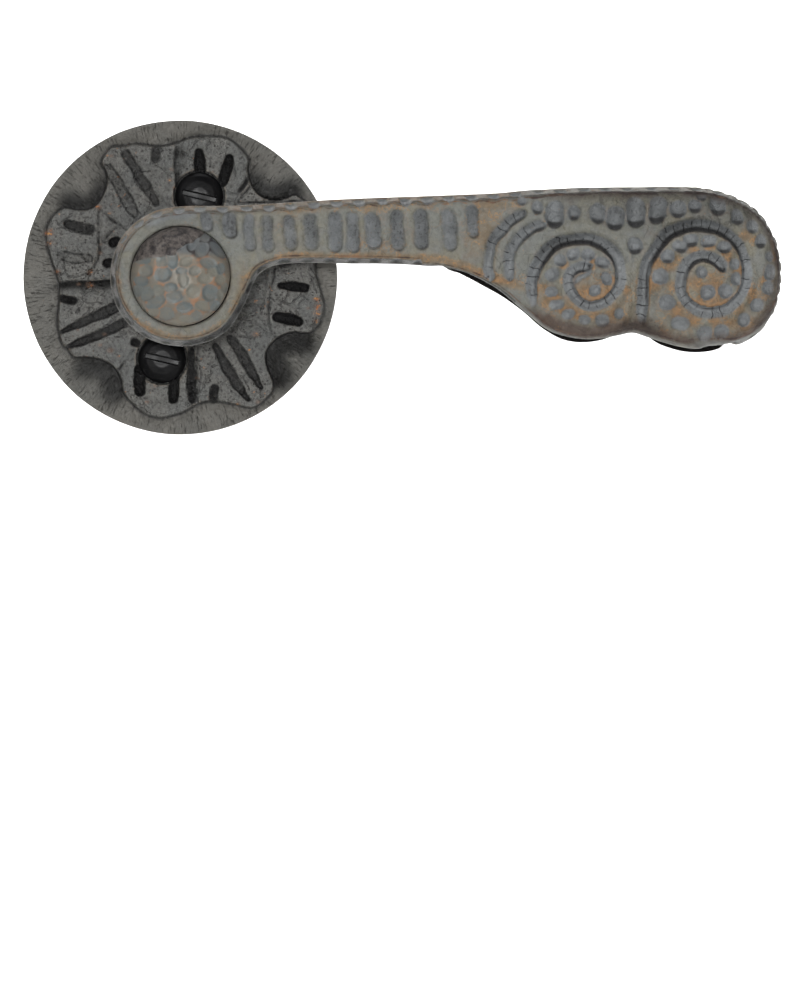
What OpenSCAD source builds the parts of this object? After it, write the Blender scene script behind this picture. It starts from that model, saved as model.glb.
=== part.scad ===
// Door lever handle on a round rose.
// A cast scroll lever sits on a waisted shank. The shank turns in a bushed,
// sprung rose, and two slotted screws through the rose hold it to the door.
// X runs along the lever and Z is up. The door face is the plane Y = 0 and
// the handle stands out on its -Y side, about the spindle axis at the origin.

/* [Rose] */
// Diameter of the rose
rose_d = 65; // [64:0.5:68]
// Thickness of the rose at its rim
rose_rim_t = 4.2; // [4:0.1:5]
// Thickness of the hollow dish around the petals
rose_dish_t = 3.4; // [3.2:0.1:3.8]
// Height of the flat middle of the petals
petal_h = 7.3; // [7.2:0.05:7.4]
// Height of the petals at their outer edge
petal_edge_h = 5.7; // [5:0.1:6.2]
// Width of the slots in the petals
slot_w = 2.0; // [1.2:0.1:2.4]
// Radius of the scooped hollows between the petals
scoop_r = 5.1; // [4.5:0.1:5.5]

/* [Fixing] */
// Diameter of the circle through both fixing screws
screw_pcd = 34.5; // [34.4:0.1:36]
// Angle of the upper fixing screw from the lever's line
screw_ang = 77; // [72:1:82]
// Thread diameter of the fixing screws
screw_d = 5; // [4:0.5:5]
// Diameter of the fixing screws' heads
screw_head_d = 9.5; // [8:0.1:9.6]
// Length of a fixing screw below its head
screw_len = 45; // [30:1:60]

/* [Bearing] */
// Diameter of the shank's journal in the bush
journal_d = 16; // [15.9:0.05:16.1]
// Radial running clearance between the journal and the bush
run_gap = 0.05; // [0.03:0.01:0.1]
// Outer diameter of the bush's sleeve
bush_d = 19.1; // [18.8:0.1:19.1]

/* [Spring cassette] */
// Outer diameter of the spring cup
cup_d = 26.4; // [26.2:0.1:26.4]
// Sheet thickness of the spring cup
cup_t = 0.8; // [0.6:0.1:0.8]
// Diameter of the spring wire
wire_d = 1.6; // [1.2:0.1:1.6]
// Mean radius of the spring's coils
coil_r = 10.9; // [10.8:0.1:11]
// Number of coils in the spring
coils = 2.75; // [2:0.25:2.75]
// Downward travel of the lever between its stops, in degrees
turn = 42; // [30:1:45]

/* [Shank] */
// Distance from the door to the back of the lever arm
arm_back = 53.2; // [53.2:0.1:56]
// Side of the square spindle
spindle_w = 8; // [7:0.5:8]
// Length of the spindle
spindle_len = 80; // [60:1:110]
// Height above the door that the spindle reaches inside the shank
spindle_top = 28; // [24:1:32]

/* [Lever arm] */
// Radius of the round eye at the shank end
eye_r = 13.5; // [13:0.1:14]
// Half the thickness of the arm at the neck
neck_t = 7.6; // [7:0.1:8.2]
// Distance from the door to the middle plane of the arm
arm_mid = 61.4; // [61.3:0.1:64]
// Radius of the small scroll
lobe1_r = 10.6; // [10:0.1:12]
// Radius of the large scroll at the tip
lobe2_r = 15.2; // [15:0.1:16.5]

/* [Domed cap] */
// Radius of the cap on the eye
cap_r = 9.5; // [8:0.1:10]
// Radius of the cap's domed face
cap_dome_r = 15.3; // [13:0.1:20]
// Distance from the door to the top of the cap
cap_top = 74.8; // [74:0.1:76]

/* [Hidden] */
$fn = 64;

bronze = [0.42, 0.40, 0.37];
bronze_dark = [0.33, 0.32, 0.31];
black = [0.10, 0.10, 0.11];
zinc = [0.70, 0.71, 0.72];
bush_col = [0.72, 0.56, 0.30];
nylon = [0.86, 0.85, 0.80];
steel = [0.55, 0.56, 0.58];

rose_r = rose_d / 2;
jr = journal_d / 2;
bush_r = bush_d / 2;
bush_flange_r = 10.95;
screw_r = screw_pcd / 2;
head_floor = 4.6;             // seat of the fixing screws' heads
web = 3.6;                    // underside of the rose's middle
flange_r = 25;                // spring cup's flange
flange_t = 1.5;
cup_r = cup_d / 2;
cup_in = cup_r - cup_t;
cover_z = -8.7;               // outer face of the cassette cover
cover_t = 0.8;
cam_z = -5.4;                 // lower face of the spring cam
cam_t = 1.5;
shank_end = -7.6;
coil_pitch = wire_d + 0.1;
coil_top = 1.75;              // height of the first coil's centre
pin_r = 1.0;
pin_at = 11.1;                // radius of the stop pins' circle
lug_half = 14;                // half the angle of the cam's lug
lug_rest = 90 + turn / 2;     // direction of the lug at rest
// Angle from the lug's flank to a pin's centre, with 0.15 mm left between
pin_lead = lug_half + asin((pin_r + 0.15) / pin_at);
m3_at = 19;                   // radius of the cassette screws' circle
tenon_w = 11.9;               // square tenon on the shank
tenon_top = arm_back + 7.7;
cap_seat = 63.5;              // floor of the counterbore in the eye

// Petal edge of one quarter: [angle from the scoop, radius]
petal_quarter = [[0, 23.3], [5, 24.6], [9, 28], [14, 30], [22, 30.2],
                 [32, 29], [45, 27.6], [56, 27.8], [66, 29.6], [73, 30],
                 [79, 28], [82, 26], [85.5, 24]];
scoop_angs = [47, 137, 227, 317];

// Waisted shank: [height, half width, half length of the flat]
shank_rings = [[7.8, 11.2, 6.4], [9.5, 12.5, 7], [13, 12.1, 6.9],
               [17, 11, 6.5], [22, 9.8, 5.8], [26, 9, 5.1], [31, 8.5, 4.6],
               [38, 8.8, 4.4], [42, 9.2, 4.4], [46, 10, 4.6],
               [50, 10.7, 5], [52, 11.5, 5.5], [arm_back - 0.05, 11.6, 5.6]];

// Lower edge of the arm between the eye and the small scroll
arm_under = [[0, -12], [9, -9.5], [10.6, -7], [12.3, -4.5], [13.6, -2],
             [15.2, 0.7], [18, 2.2], [22, 2.6], [30, 2.5], [44, 2.3],
             [50, 1.9], [54, 1.1], [58, -0.4], [61.5, -2.6], [65.3, -5.4],
             [69.5, -8.2], [88, -9.6], [92, -9]];
// Upper edge of the arm, from the tip back to the eye
arm_over = [[115, 6], [113.6, 9], [111.5, 11.6], [107.5, 14.4], [104, 15.8],
            [100, 16.6], [92, 17.2], [84, 17], [69, 16.4], [54, 15.5],
            [42, 15], [30, 14.6], [13, 13.6], [0, 13.4]];
// Half thickness of the arm along its length, ending in a rounded tip
arm_half = [[-14, 8.1], [14, 8.1], [18, neck_t], [46, neck_t],
            [54, neck_t + 1], [66, neck_t + 2.1], [90, neck_t + 4.2],
            [110, neck_t + 5.6], [112.5, neck_t + 5.6],
            [114.6, neck_t + 4], [115.8, neck_t + 1.5], [116.5, 4]];

// Turns a piece modelled on the spindle axis so that it stands off the door
module out() { rotate([90, 0, 0]) children(); }

// Ring of the given radii between two heights
module ring(ri, ro, z0, z1) {
    difference() {
        translate([0, 0, z0]) cylinder(r = ro, h = z1 - z0);
        translate([0, 0, z0 - 1]) cylinder(r = ri, h = z1 - z0 + 2);
    }
}

// Both fixing screws' positions
module at_screws() {
    for (a = [screw_ang, screw_ang + 180])
        rotate([0, 0, a]) translate([screw_r, 0, 0]) rotate([0, 0, -a]) children();
}

// Both cassette screws' positions
module at_m3() {
    for (a = [screw_ang + 90, screw_ang + 270])
        rotate([0, 0, a]) translate([m3_at, 0, 0]) children();
}

// Closed solid through rings of points, each ring counter-clockwise from above
module skin(rings) {
    n = len(rings[0]);
    m = len(rings);
    polyhedron(
        points = [for (a = rings) each a],
        faces = concat(
            [[for (i = [0 : n - 1]) i]],
            [for (j = [0 : m - 2]) for (i = [0 : n - 1]) let (k = (i + 1) % n)
                each [[j * n + i, (j + 1) * n + i, (j + 1) * n + k],
                      [j * n + i, (j + 1) * n + k, j * n + k]]],
            [[for (i = [n - 1 : -1 : 0]) (m - 1) * n + i]]));
}

// Square with cut corners, as a ring of points
function cut_square(z, a, f) = [[a, -f, z], [a, f, z], [f, a, z], [-f, a, z],
                                [-a, f, z], [-a, -f, z], [-f, -a, z], [f, -a, z]];

function petal_points() = [for (s = scoop_angs) for (p = petal_quarter)
    [p[1] * cos(s + p[0]), p[1] * sin(s + p[0])]];

// Straight slot between two radii at an angle, open at the top
module slot(ang, r0, r1, w, floor_z, skew = 0) {
    rotate([0, 0, ang]) translate([(r0 + r1) / 2, 0, floor_z])
        rotate([0, 0, skew]) translate([-(r1 - r0) / 2, -w / 2, 0])
            cube([r1 - r0, w, 6]);
}

module rose() {
    color(bronze_dark) out() difference() {
        union() {
            rotate_extrude() polygon([[0, 0], [rose_r - 0.3, 0], [rose_r, 0.4],
                [rose_r, rose_rim_t], [rose_r - 1.2, rose_rim_t - 0.1],
                [rose_r - 3.5, rose_dish_t + 0.1], [rose_r - 6, rose_dish_t],
                [0, rose_dish_t]]);
            intersection() {
                translate([0, 0, 2]) linear_extrude(height = 8) polygon(petal_points());
                rotate_extrude() polygon([[0, 2], [rose_r - 1, 2],
                    [rose_r - 1, petal_edge_h - 0.3], [28, petal_edge_h],
                    [13.5, petal_h], [0, petal_h]]);
            }
        }
        // Hollows between the petals
        for (a = scoop_angs) rotate([0, 0, a])
            translate([28.8, 0, petal_h]) sphere(r = scoop_r);
        // Two short slots in each upright lobe
        for (a = [0, 90, 180, 270], s = [-8, 8])
            slot(screw_ang + a + s, 22, 27, slot_w, 4.2);
        // Two long grooves and a notch in each slanting lobe
        for (a = [45, 135, 225, 315], s = [0, -8])
            slot(screw_ang + a + s, 16, 28, slot_w - 0.2, 5, 3);
        for (a = [45, 135, 225, 315])
            slot(screw_ang + a - 20, 25, 30, slot_w - 0.2, 4.6);
        // Seat for the bush
        translate([0, 0, -1]) cylinder(r = bush_r + 0.05, h = 20);
        translate([0, 0, 6.1]) cylinder(r = bush_flange_r + 0.05, h = 5);
        // Room for the spring cup
        translate([0, 0, -1]) cylinder(r = cup_r + 0.1, h = 1 + web);
        translate([0, 0, -1]) cylinder(r = flange_r + 0.2, h = 1 + flange_t + 0.1);
        // Fixing screws
        at_screws() {
            translate([0, 0, -1]) cylinder(d = screw_d + 0.5, h = 12);
            translate([0, 0, head_floor]) cylinder(d = screw_head_d + 1, h = 8);
        }
        // Tapped holes for the cassette screws
        at_m3() translate([0, 0, -1]) cylinder(r = 1.5, h = 6.1);
    }
}

module bearing_bush() {
    color(bush_col) out() difference() {
        union() {
            translate([0, 0, -2.2]) cylinder(r = bush_r, h = 9);
            translate([0, 0, 6.12]) cylinder(r = bush_flange_r, h = 1.03);
        }
        translate([0, 0, -4]) cylinder(r = jr + run_gap, h = 14);
    }
}

module wear_ring() {
    color(nylon) out() ring(jr + 0.2, bush_flange_r - 0.05, 7.17, 7.66);
}

module spring_cup() {
    color(zinc) out() difference() {
        union() {
            translate([0, 0, cover_z - 0.3]) cylinder(r = cup_r, h = 0.3 - cover_z + web - 0.1);
            translate([0, 0, 0.05]) cylinder(r = flange_r, h = flange_t);
        }
        // Inside of the pan, with a lip rolled in over the cover
        translate([0, 0, cover_z]) cylinder(r = cup_in, h = -cover_z + web - 0.1 - cup_t);
        translate([0, 0, cover_z - 1]) cylinder(r = cup_in - 0.5, h = 3);
        // Way through for the bush
        translate([0, 0, 0]) cylinder(r = bush_r + 0.15, h = 6);
        // Hole for the spring's fixed end
        rotate([0, 0, 300]) translate([coil_r, 0, 1]) cylinder(d = wire_d + 0.2, h = 5);
        at_screws() translate([0, 0, -1]) cylinder(d = screw_d + 0.5, h = 4);
        at_m3() {
            translate([0, 0, -1]) cylinder(r = 1.7, h = 4);
            translate([0, 0, 0]) cylinder(r1 = 3.05, r2 = 1.65, h = 1.5);
        }
    }
}

module cassette_cover() {
    color(zinc) out() difference() {
        translate([0, 0, cover_z + 0.02]) cylinder(r = cup_in - 0.05, h = cover_t);
        translate([0, 0, cover_z - 1]) cylinder(r = 6.3, h = 4);
        for (a = [lug_rest + pin_lead, lug_rest - turn - pin_lead]) rotate([0, 0, a])
            translate([pin_at, 0, cover_z - 1]) cylinder(r = pin_r + 0.02, h = 4);
    }
}

module stop_pins() {
    color(steel) out()
        for (a = [lug_rest + pin_lead, lug_rest - turn - pin_lead]) rotate([0, 0, a])
            translate([pin_at, 0, cover_z + 0.02]) cylinder(r = pin_r, h = 4.6);
}

// One ring of the spring wire at turn angle a
function wire_ring(a, z) = [for (i = [0 : 7]) let (b = -45 * i)
    [(coil_r + wire_d / 2 * cos(b)) * cos(a), (coil_r + wire_d / 2 * cos(b)) * sin(a),
     z + wire_d / 2 * sin(b)]];

module return_spring() {
    steps = round(coils * 24);
    start = 300;
    color(steel) out() {
        // Coils wound downwards from the cup's floor
        skin([for (j = [0 : steps]) wire_ring(start + 360 * coils * j / steps,
            coil_top - coil_pitch * coils * j / steps)]);
        // Fixed end, up into the cup
        rotate([0, 0, start]) translate([coil_r, 0, coil_top])
            cylinder(d = wire_d - 0.02, h = 1.7);
        // Working end, down beside the cam's lug
        rotate([0, 0, start + 360 * coils])
            translate([coil_r, 0, coil_top - coil_pitch * coils - 2.2])
                cylinder(d = wire_d - 0.02, h = 2.2);
    }
}

module cassette_screws() {
    color(steel) out() at_m3() difference() {
        union() {
            translate([0, 0, 0.1]) cylinder(r1 = 2.85, r2 = 1.45, h = 1.5);
            translate([0, 0, 1.5]) cylinder(r = 1.45, h = 3.4);
        }
        for (s = [0, 90]) rotate([0, 0, s]) translate([-1.5, -0.3, -1]) cube([3, 0.6, 1.9]);
    }
}

module fixing_screws() {
    color(black) out() at_screws() difference() {
        union() {
            translate([0, 0, head_floor + 0.02]) rotate_extrude()
                polygon([[0, 0], [screw_head_d / 2, 0], [screw_head_d / 2, 0.8],
                    [4.35, 1.6], [3.3, 2.2], [1.7, 2.6], [0, 2.68]]);
            // Plain shank through the rose, then the thread
            translate([0, 0, -1]) cylinder(d = screw_d - 0.6, h = head_floor + 1.1);
            translate([0, 0, head_floor - screw_len]) cylinder(d = screw_d, h = screw_len - head_floor - 0.5);
        }
        rotate([0, 0, screw_ang - 90]) translate([-4, -0.5, head_floor + 1.5]) cube([8, 1, 3]);
    }
}

// Domed boss of a scroll: base radius, dome radius, height above the middle plane
module boss(at, base_r, dome_r, top) {
    translate([at[0], at[1], 0]) intersection() {
        translate([0, 0, top - dome_r]) sphere(r = dome_r);
        cylinder(r = base_r, h = top + 1);
    }
}

module lever_arm() {
    color(bronze) out() difference() {
        union() {
            intersection() {
                union() {
                    translate([0, 0, arm_mid - 20]) linear_extrude(height = 40) union() {
                        circle(r = eye_r);
                        polygon(concat(arm_under, arm_over));
                        translate([78.5, -0.9]) circle(r = lobe1_r);
                        translate([100.5, 1.6]) circle(r = lobe2_r);
                    }
                    // The scrolls on the door side hang a little lower
                    translate([78.8, -2, arm_mid - 20]) cylinder(r = lobe1_r + 0.2, h = 17);
                    translate([100.4, 0.5, arm_mid - 20]) cylinder(r = lobe2_r, h = 17);
                }
                translate([0, 30, arm_mid]) rotate([90, 0, 0]) linear_extrude(height = 60)
                    polygon(concat([for (p = arm_half) p],
                        [for (i = [len(arm_half) - 1 : -1 : 0])
                            [arm_half[i][0], -arm_half[i][1]]]));
            }
            for (m = [0, 1]) translate([0, 0, arm_mid]) mirror([0, 0, m]) {
                boss([79, -1.5], 9.4, 18, 13.6);
                boss([101.5, 0], 11.4, 21, 16);
            }
        }
        // Square hole for the shank's tenon, screw hole and counterbore
        translate([-tenon_w / 2 - 0.05, -tenon_w / 2 - 0.05, arm_back - 2])
            cube([tenon_w + 0.1, tenon_w + 0.1, tenon_top - arm_back + 2.1]);
        translate([0, 0, arm_back]) cylinder(r = 3.2, h = 30);
        translate([0, 0, cap_seat]) cylinder(r = cap_r + 0.05, h = 20);
    }
}

module shank() {
    color(bronze) out() difference() {
        union() {
            skin([for (r = shank_rings) cut_square(r[0], r[1], r[2])]);
            translate([0, 0, 7.7]) cylinder(r = 10.9, h = 1);
            translate([0, 0, shank_end]) cylinder(r = jr, h = 16 - shank_end);
            translate([-tenon_w / 2, -tenon_w / 2, arm_back - 2])
                cube([tenon_w, tenon_w, tenon_top - arm_back + 2]);
        }
        // Broached hole for the spindle
        translate([-spindle_w / 2 - 0.05, -spindle_w / 2 - 0.05, shank_end - 1])
            cube([spindle_w + 0.1, spindle_w + 0.1, spindle_top + 1.5 - shank_end]);
        // Tapped hole for the arm's screw
        translate([0, 0, tenon_top - 16]) cylinder(r = 3, h = 20);
        // Tapped hole for the grub screw
        translate([0, 0, 20]) rotate([90, 0, 0]) cylinder(r = 2.5, h = 15);
        // Flats for the cam and a groove for the circlip
        for (s = [-1, 1]) translate([s * 10.8 - 4, -10, shank_end - 1])
            cube([8, 20, cam_z + cam_t - shank_end + 1.05]);
        ring(7.4, 10, cam_z - 1.25, cam_z - 0.03);
    }
}

module domed_cap() {
    color(bronze) out() difference() {
        intersection() {
            translate([0, 0, cap_top - cap_dome_r]) sphere(r = cap_dome_r);
            translate([0, 0, cap_seat + 1.1]) cylinder(r = cap_r, h = 20);
        }
        translate([0, 0, cap_seat]) cylinder(r = 5.8, h = 5);
    }
}

module arm_screw() {
    color(steel) out() difference() {
        union() {
            translate([0, 0, tenon_top - 15]) cylinder(r = 2.95, h = cap_seat + 2 - tenon_top + 15);
            translate([0, 0, cap_seat + 0.95]) cylinder(r = 5, h = 3.4);
        }
        translate([0, 0, cap_seat + 2.2]) cylinder(r = 2.9, h = 5, $fn = 6);
    }
}

module lock_washer() {
    color(steel) out() difference() {
        ring(3.1, 5.2, cap_seat + 0.03, cap_seat + 0.9);
        translate([2, -0.3, cap_seat - 1]) cube([5, 0.6, 4]);
    }
}

module thrust_washer() {
    color(steel) out() ring(jr + 0.15, 9.4, -3.05, -2.25);
}

// Spring washer, 0.3 thick, waved three times round
module wave_washer() {
    n = 36;
    ri = jr + 0.2;
    ro = 9.35;
    mid = (cam_z + cam_t - 3.05) / 2;
    function zz(a, s) = mid + 0.22 * cos(3 * a) + s * 0.15;
    color(steel) out() polyhedron(
        points = [for (j = [0 : n - 1]) let (a = 360 * j / n)
            each [[ri * cos(a), ri * sin(a), zz(a, -1)], [ro * cos(a), ro * sin(a), zz(a, -1)],
                  [ro * cos(a), ro * sin(a), zz(a, 1)], [ri * cos(a), ri * sin(a), zz(a, 1)]]],
        faces = [for (j = [0 : n - 1]) for (i = [0 : 3]) let (k = (i + 1) % 4, l = (j + 1) % n)
            each [[j * 4 + i, j * 4 + k, l * 4 + k], [j * 4 + i, l * 4 + k, l * 4 + i]]]);
}

module spring_cam() {
    color(steel) out() difference() {
        translate([0, 0, cam_z]) union() {
            cylinder(r = 9.4, h = cam_t);
            linear_extrude(height = cam_t) intersection() {
                circle(r = 12);
                polygon([[0, 0], [20 * cos(lug_rest - lug_half), 20 * sin(lug_rest - lug_half)],
                    [22 * cos(lug_rest), 22 * sin(lug_rest)],
                    [20 * cos(lug_rest + lug_half), 20 * sin(lug_rest + lug_half)]]);
            }
        }
        intersection() {
            translate([0, 0, cam_z - 1]) cylinder(r = jr + 0.04, h = 4);
            translate([-6.84, -10, cam_z - 1]) cube([13.68, 20, 4]);
        }
    }
}

module circlip() {
    color(steel) out() difference() {
        union() {
            ring(7.45, 9.1, cam_z - 1.2, cam_z - 0.06);
            for (s = [-1, 1]) translate([s * 2.6, -9, cam_z - 1.2]) cylinder(r = 1.4, h = 1.14);
        }
        translate([0, 0, cam_z - 2]) cylinder(r = 7.45, h = 3);
        translate([-1.2, -12, cam_z - 2]) cube([2.4, 6, 3]);
        for (s = [-1, 1]) translate([s * 2.6, -9.2, cam_z - 2]) cylinder(r = 0.6, h = 3);
    }
}

module spindle() {
    color(steel) out() translate([-spindle_w / 2, -spindle_w / 2, spindle_top - spindle_len])
        cube([spindle_w, spindle_w, spindle_len]);
}

module grub_screw() {
    color(black) out() translate([0, 0, 20]) rotate([90, 0, 0]) difference() {
        translate([0, 0, spindle_w / 2 + 0.05]) cylinder(r = 2.45, h = 5.5);
        translate([0, 0, 7]) cylinder(r = 1.45, h = 4, $fn = 6);
    }
}

rose();
bearing_bush();
wear_ring();
spring_cup();
cassette_cover();
stop_pins();
return_spring();
cassette_screws();
fixing_screws();
lever_arm();
shank();
domed_cap();
arm_screw();
lock_washer();
thrust_washer();
wave_washer();
spring_cam();
circlip();
spindle();
grub_screw();
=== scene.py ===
import math
import bpy
import numpy as np
from mathutils import Euler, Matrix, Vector


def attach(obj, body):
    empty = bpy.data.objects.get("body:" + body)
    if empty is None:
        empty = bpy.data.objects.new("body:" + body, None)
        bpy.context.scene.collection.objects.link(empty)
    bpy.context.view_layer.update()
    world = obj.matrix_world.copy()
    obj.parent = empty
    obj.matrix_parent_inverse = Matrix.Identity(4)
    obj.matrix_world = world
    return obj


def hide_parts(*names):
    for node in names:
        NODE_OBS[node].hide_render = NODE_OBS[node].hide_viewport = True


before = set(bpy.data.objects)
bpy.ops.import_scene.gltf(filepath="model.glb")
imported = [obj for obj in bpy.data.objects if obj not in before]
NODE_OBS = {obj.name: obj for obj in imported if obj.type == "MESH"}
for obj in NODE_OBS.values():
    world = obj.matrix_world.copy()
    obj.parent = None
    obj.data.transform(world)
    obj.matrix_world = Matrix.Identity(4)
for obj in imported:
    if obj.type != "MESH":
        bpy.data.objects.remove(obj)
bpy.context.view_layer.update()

# Everything below is modelled in millimetres in the lever's own terms: x towards
# the tip, z up, h outwards from the door. put() turns that into the frame.
# Where a shape must clear a CAD part, its size is the same as in the CAD.


def put(p):
    out = np.empty((len(p), 3), dtype=np.float32)
    out[:, 0] = p[:, 0] * 0.001
    out[:, 1] = -p[:, 2] * 0.001
    out[:, 2] = p[:, 1] * 0.001
    return out


CAM_AT = (0.0, -0.85, -0.0037)
CAM_TILT = (math.radians(90 - 2.873), math.radians(-3.08))
CAM_LENS = 146.6


def seen_at(u, v, h):
    """x, z where the sight line of the photograph's pixel (u, v) reaches h."""
    f = CAM_LENS / 36 * 1000
    dx, dy, dz = (u - 400) / f, (500 - v) / f, -1.0
    a, b = CAM_TILT
    y1, z1 = dy * math.cos(a) - dz * math.sin(a), dy * math.sin(a) + dz * math.cos(a)
    x2, y2 = dx * math.cos(b) - y1 * math.sin(b), dx * math.sin(b) + y1 * math.cos(b)
    t = (-h * 0.001 - CAM_AT[1]) / y2
    return (CAM_AT[0] + t * x2) * 1000, (CAM_AT[2] + t * z1) * 1000


def from_zoom(u0, v0, k, pts, h=6.4):
    """Points read off an enlarged view of the photograph, k times from (u0, v0)."""
    return [seen_at(u0 + p[0] / k, v0 + p[1] / k, h) + tuple(p[2:]) for p in pts]


# ------------------------------------------------------------------ fields

def smooth(x, a, b):
    t = np.clip((x - a) / (b - a), 0, 1)
    return t * t * (3 - 2 * t)


def lerp(a, b, t):
    return a + (b - a) * t


def curve(pts, closed=False, step=0.5):
    """Catmull-Rom line through the points, resampled evenly."""
    p = np.array(pts, dtype=np.float64)
    n = len(p)
    out = []
    last = n if closed else n - 1
    for i in range(last):
        if closed:
            a, b, c, d = p[(i - 1) % n], p[i], p[(i + 1) % n], p[(i + 2) % n]
        else:
            a, b, c, d = p[max(i - 1, 0)], p[i], p[i + 1], p[min(i + 2, n - 1)]
        t = np.linspace(0, 1, 12, endpoint=False)[:, None]
        out.append(0.5 * (2 * b + (c - a) * t + (2 * a - 5 * b + 4 * c - d) * t ** 2
                          + (3 * b - a - 3 * c + d) * t ** 3))
    if not closed:
        out.append(p[-1:])
    q = np.concatenate(out)
    if closed:
        q = np.concatenate([q, q[:1]])
    s = np.concatenate([[0], np.cumsum(np.hypot(*np.diff(q, axis=0).T))])
    m = max(int(s[-1] / step), 2)
    u = np.linspace(0, s[-1], m + 1)
    r = np.stack([np.interp(u, s, q[:, 0]), np.interp(u, s, q[:, 1])], 1)
    return r[:-1] if closed else r


def line_dist(path, X, Z, closed=False):
    """Distance to a path and the length along it of the nearest point."""
    best = np.full(X.shape, 1e9, dtype=np.float32)
    along = np.zeros(X.shape, dtype=np.float32)
    n = len(path)
    s = 0.0
    for i in range(n if closed else n - 1):
        a = path[i]
        b = path[(i + 1) % n]
        ab = b - a
        L = float(np.hypot(*ab))
        if L < 1e-9:
            continue
        t = np.clip(((X - a[0]) * ab[0] + (Z - a[1]) * ab[1]) / L ** 2, 0, 1)
        d = np.hypot(X - a[0] - t * ab[0], Z - a[1] - t * ab[1])
        m = d < best
        best[m] = d[m]
        along[m] = (s + t * L)[m]
        s += L
    return best, along


def side_dist(path, X, Z):
    """Distance to an open path, + on its right-hand side, and the length along it."""
    best = np.full(X.shape, 1e9, dtype=np.float32)
    along = np.zeros(X.shape, dtype=np.float32)
    sgn = np.ones(X.shape, dtype=np.float32)
    s = 0.0
    for a, b in zip(path[:-1], path[1:]):
        ab = b - a
        L = float(np.hypot(*ab))
        t = np.clip(((X - a[0]) * ab[0] + (Z - a[1]) * ab[1]) / L ** 2, 0, 1)
        d = np.hypot(X - a[0] - t * ab[0], Z - a[1] - t * ab[1])
        m = d < best
        best[m] = d[m]
        along[m] = (s + t * L)[m]
        cr = (X - a[0]) * ab[1] - (Z - a[1]) * ab[0]
        sgn[m] = np.where(cr[m] >= 0, 1, -1)
        s += L
    return best * sgn, along


def lopsided(d, out, mid, inn, depth):
    """Cut with a gentle slope on the - side and a steep wall on the + side."""
    gentle = np.clip((d + out) / (out + mid), 0, 1)
    steep = np.clip(1 - ((d - mid) / (inn - mid)) ** 2, 0, 1)
    return depth * np.where(d < mid, gentle * gentle * (3 - 2 * gentle), steep ** 0.7)


def inside(path, X, Z):
    c = np.zeros(X.shape, dtype=bool)
    n = len(path)
    for i in range(n):
        x0, z0 = path[i]
        x1, z1 = path[(i + 1) % n]
        if z0 == z1:
            continue
        hit = ((z0 > Z) != (z1 > Z)) & (X < (x1 - x0) * (Z - z0) / (z1 - z0) + x0)
        c ^= hit
    return c


def shape_dist(path, X, Z):
    d, s = line_dist(path, X, Z, closed=True)
    return np.where(inside(path, X, Z), -d, d).astype(np.float32), s


def scoop(dist, r, depth, power=0.8):
    """Cut of round section along or around something."""
    return depth * np.clip(1 - (dist / r) ** 2, 0, 1) ** power


def weights(coords, cell, n, phase):
    """Cubic interpolation weights from a coarse lattice to coordinates."""
    t = coords / cell + phase
    k = np.floor(t).astype(int)
    f = t - k
    w = np.zeros((len(coords), n), dtype=np.float32)
    b = [(1 - f) ** 3 / 6, (3 * f ** 3 - 6 * f ** 2 + 4) / 6,
         (-3 * f ** 3 + 3 * f ** 2 + 3 * f + 1) / 6, f ** 3 / 6]
    for j in range(4):
        np.add.at(w, (np.arange(len(coords)), (k - 1 + j) % n), b[j])
    return w


def noise3(xs, zs, hs, cell, seed):
    rs = np.random.RandomState(seed)
    n = 64
    r = rs.uniform(-1, 1, (n, n, n)).astype(np.float32)
    a = np.tensordot(weights(xs, cell, n, 7.3), r, axes=(1, 0))
    a = np.tensordot(weights(zs, cell, n, 5.1), a, axes=(1, 1))
    a = np.tensordot(weights(hs, cell, n, 3.7), a, axes=(1, 2))
    return np.ascontiguousarray(a.transpose(2, 1, 0)) * 1.8


def noise2(xs, zs, cell, seed):
    rs = np.random.RandomState(seed)
    n = 64
    r = rs.uniform(-1, 1, (n, n)).astype(np.float32)
    return (weights(xs, cell, n, 7.3) @ r @ weights(zs, cell, n, 5.1).T) * 1.8


def blur(F, n=1):
    """Small separable blur, n passes."""
    G = F.copy()
    for _ in range(n):
        for ax in range(F.ndim):
            a = np.moveaxis(G, ax, 0)
            b = a.copy()
            b[1:-1] = 0.25 * a[:-2] + 0.5 * a[1:-1] + 0.25 * a[2:]
            G = np.moveaxis(b, 0, ax)
    return G


def trilinear(A, lo, v, p):
    """Value of a grid at points."""
    q = (p - lo) / v
    k = np.floor(q).astype(int)
    for i in range(3):
        k[:, i] = np.clip(k[:, i], 0, A.shape[i] - 2)
    f = (q - k).astype(np.float32)
    out = 0
    for dx in (0, 1):
        for dz in (0, 1):
            for dh in (0, 1):
                w = (abs(1 - dx - f[:, 0]) * abs(1 - dz - f[:, 1]) * abs(1 - dh - f[:, 2]))
                out = out + w * A[k[:, 0] + dx, k[:, 1] + dz, k[:, 2] + dh]
    return out


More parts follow.
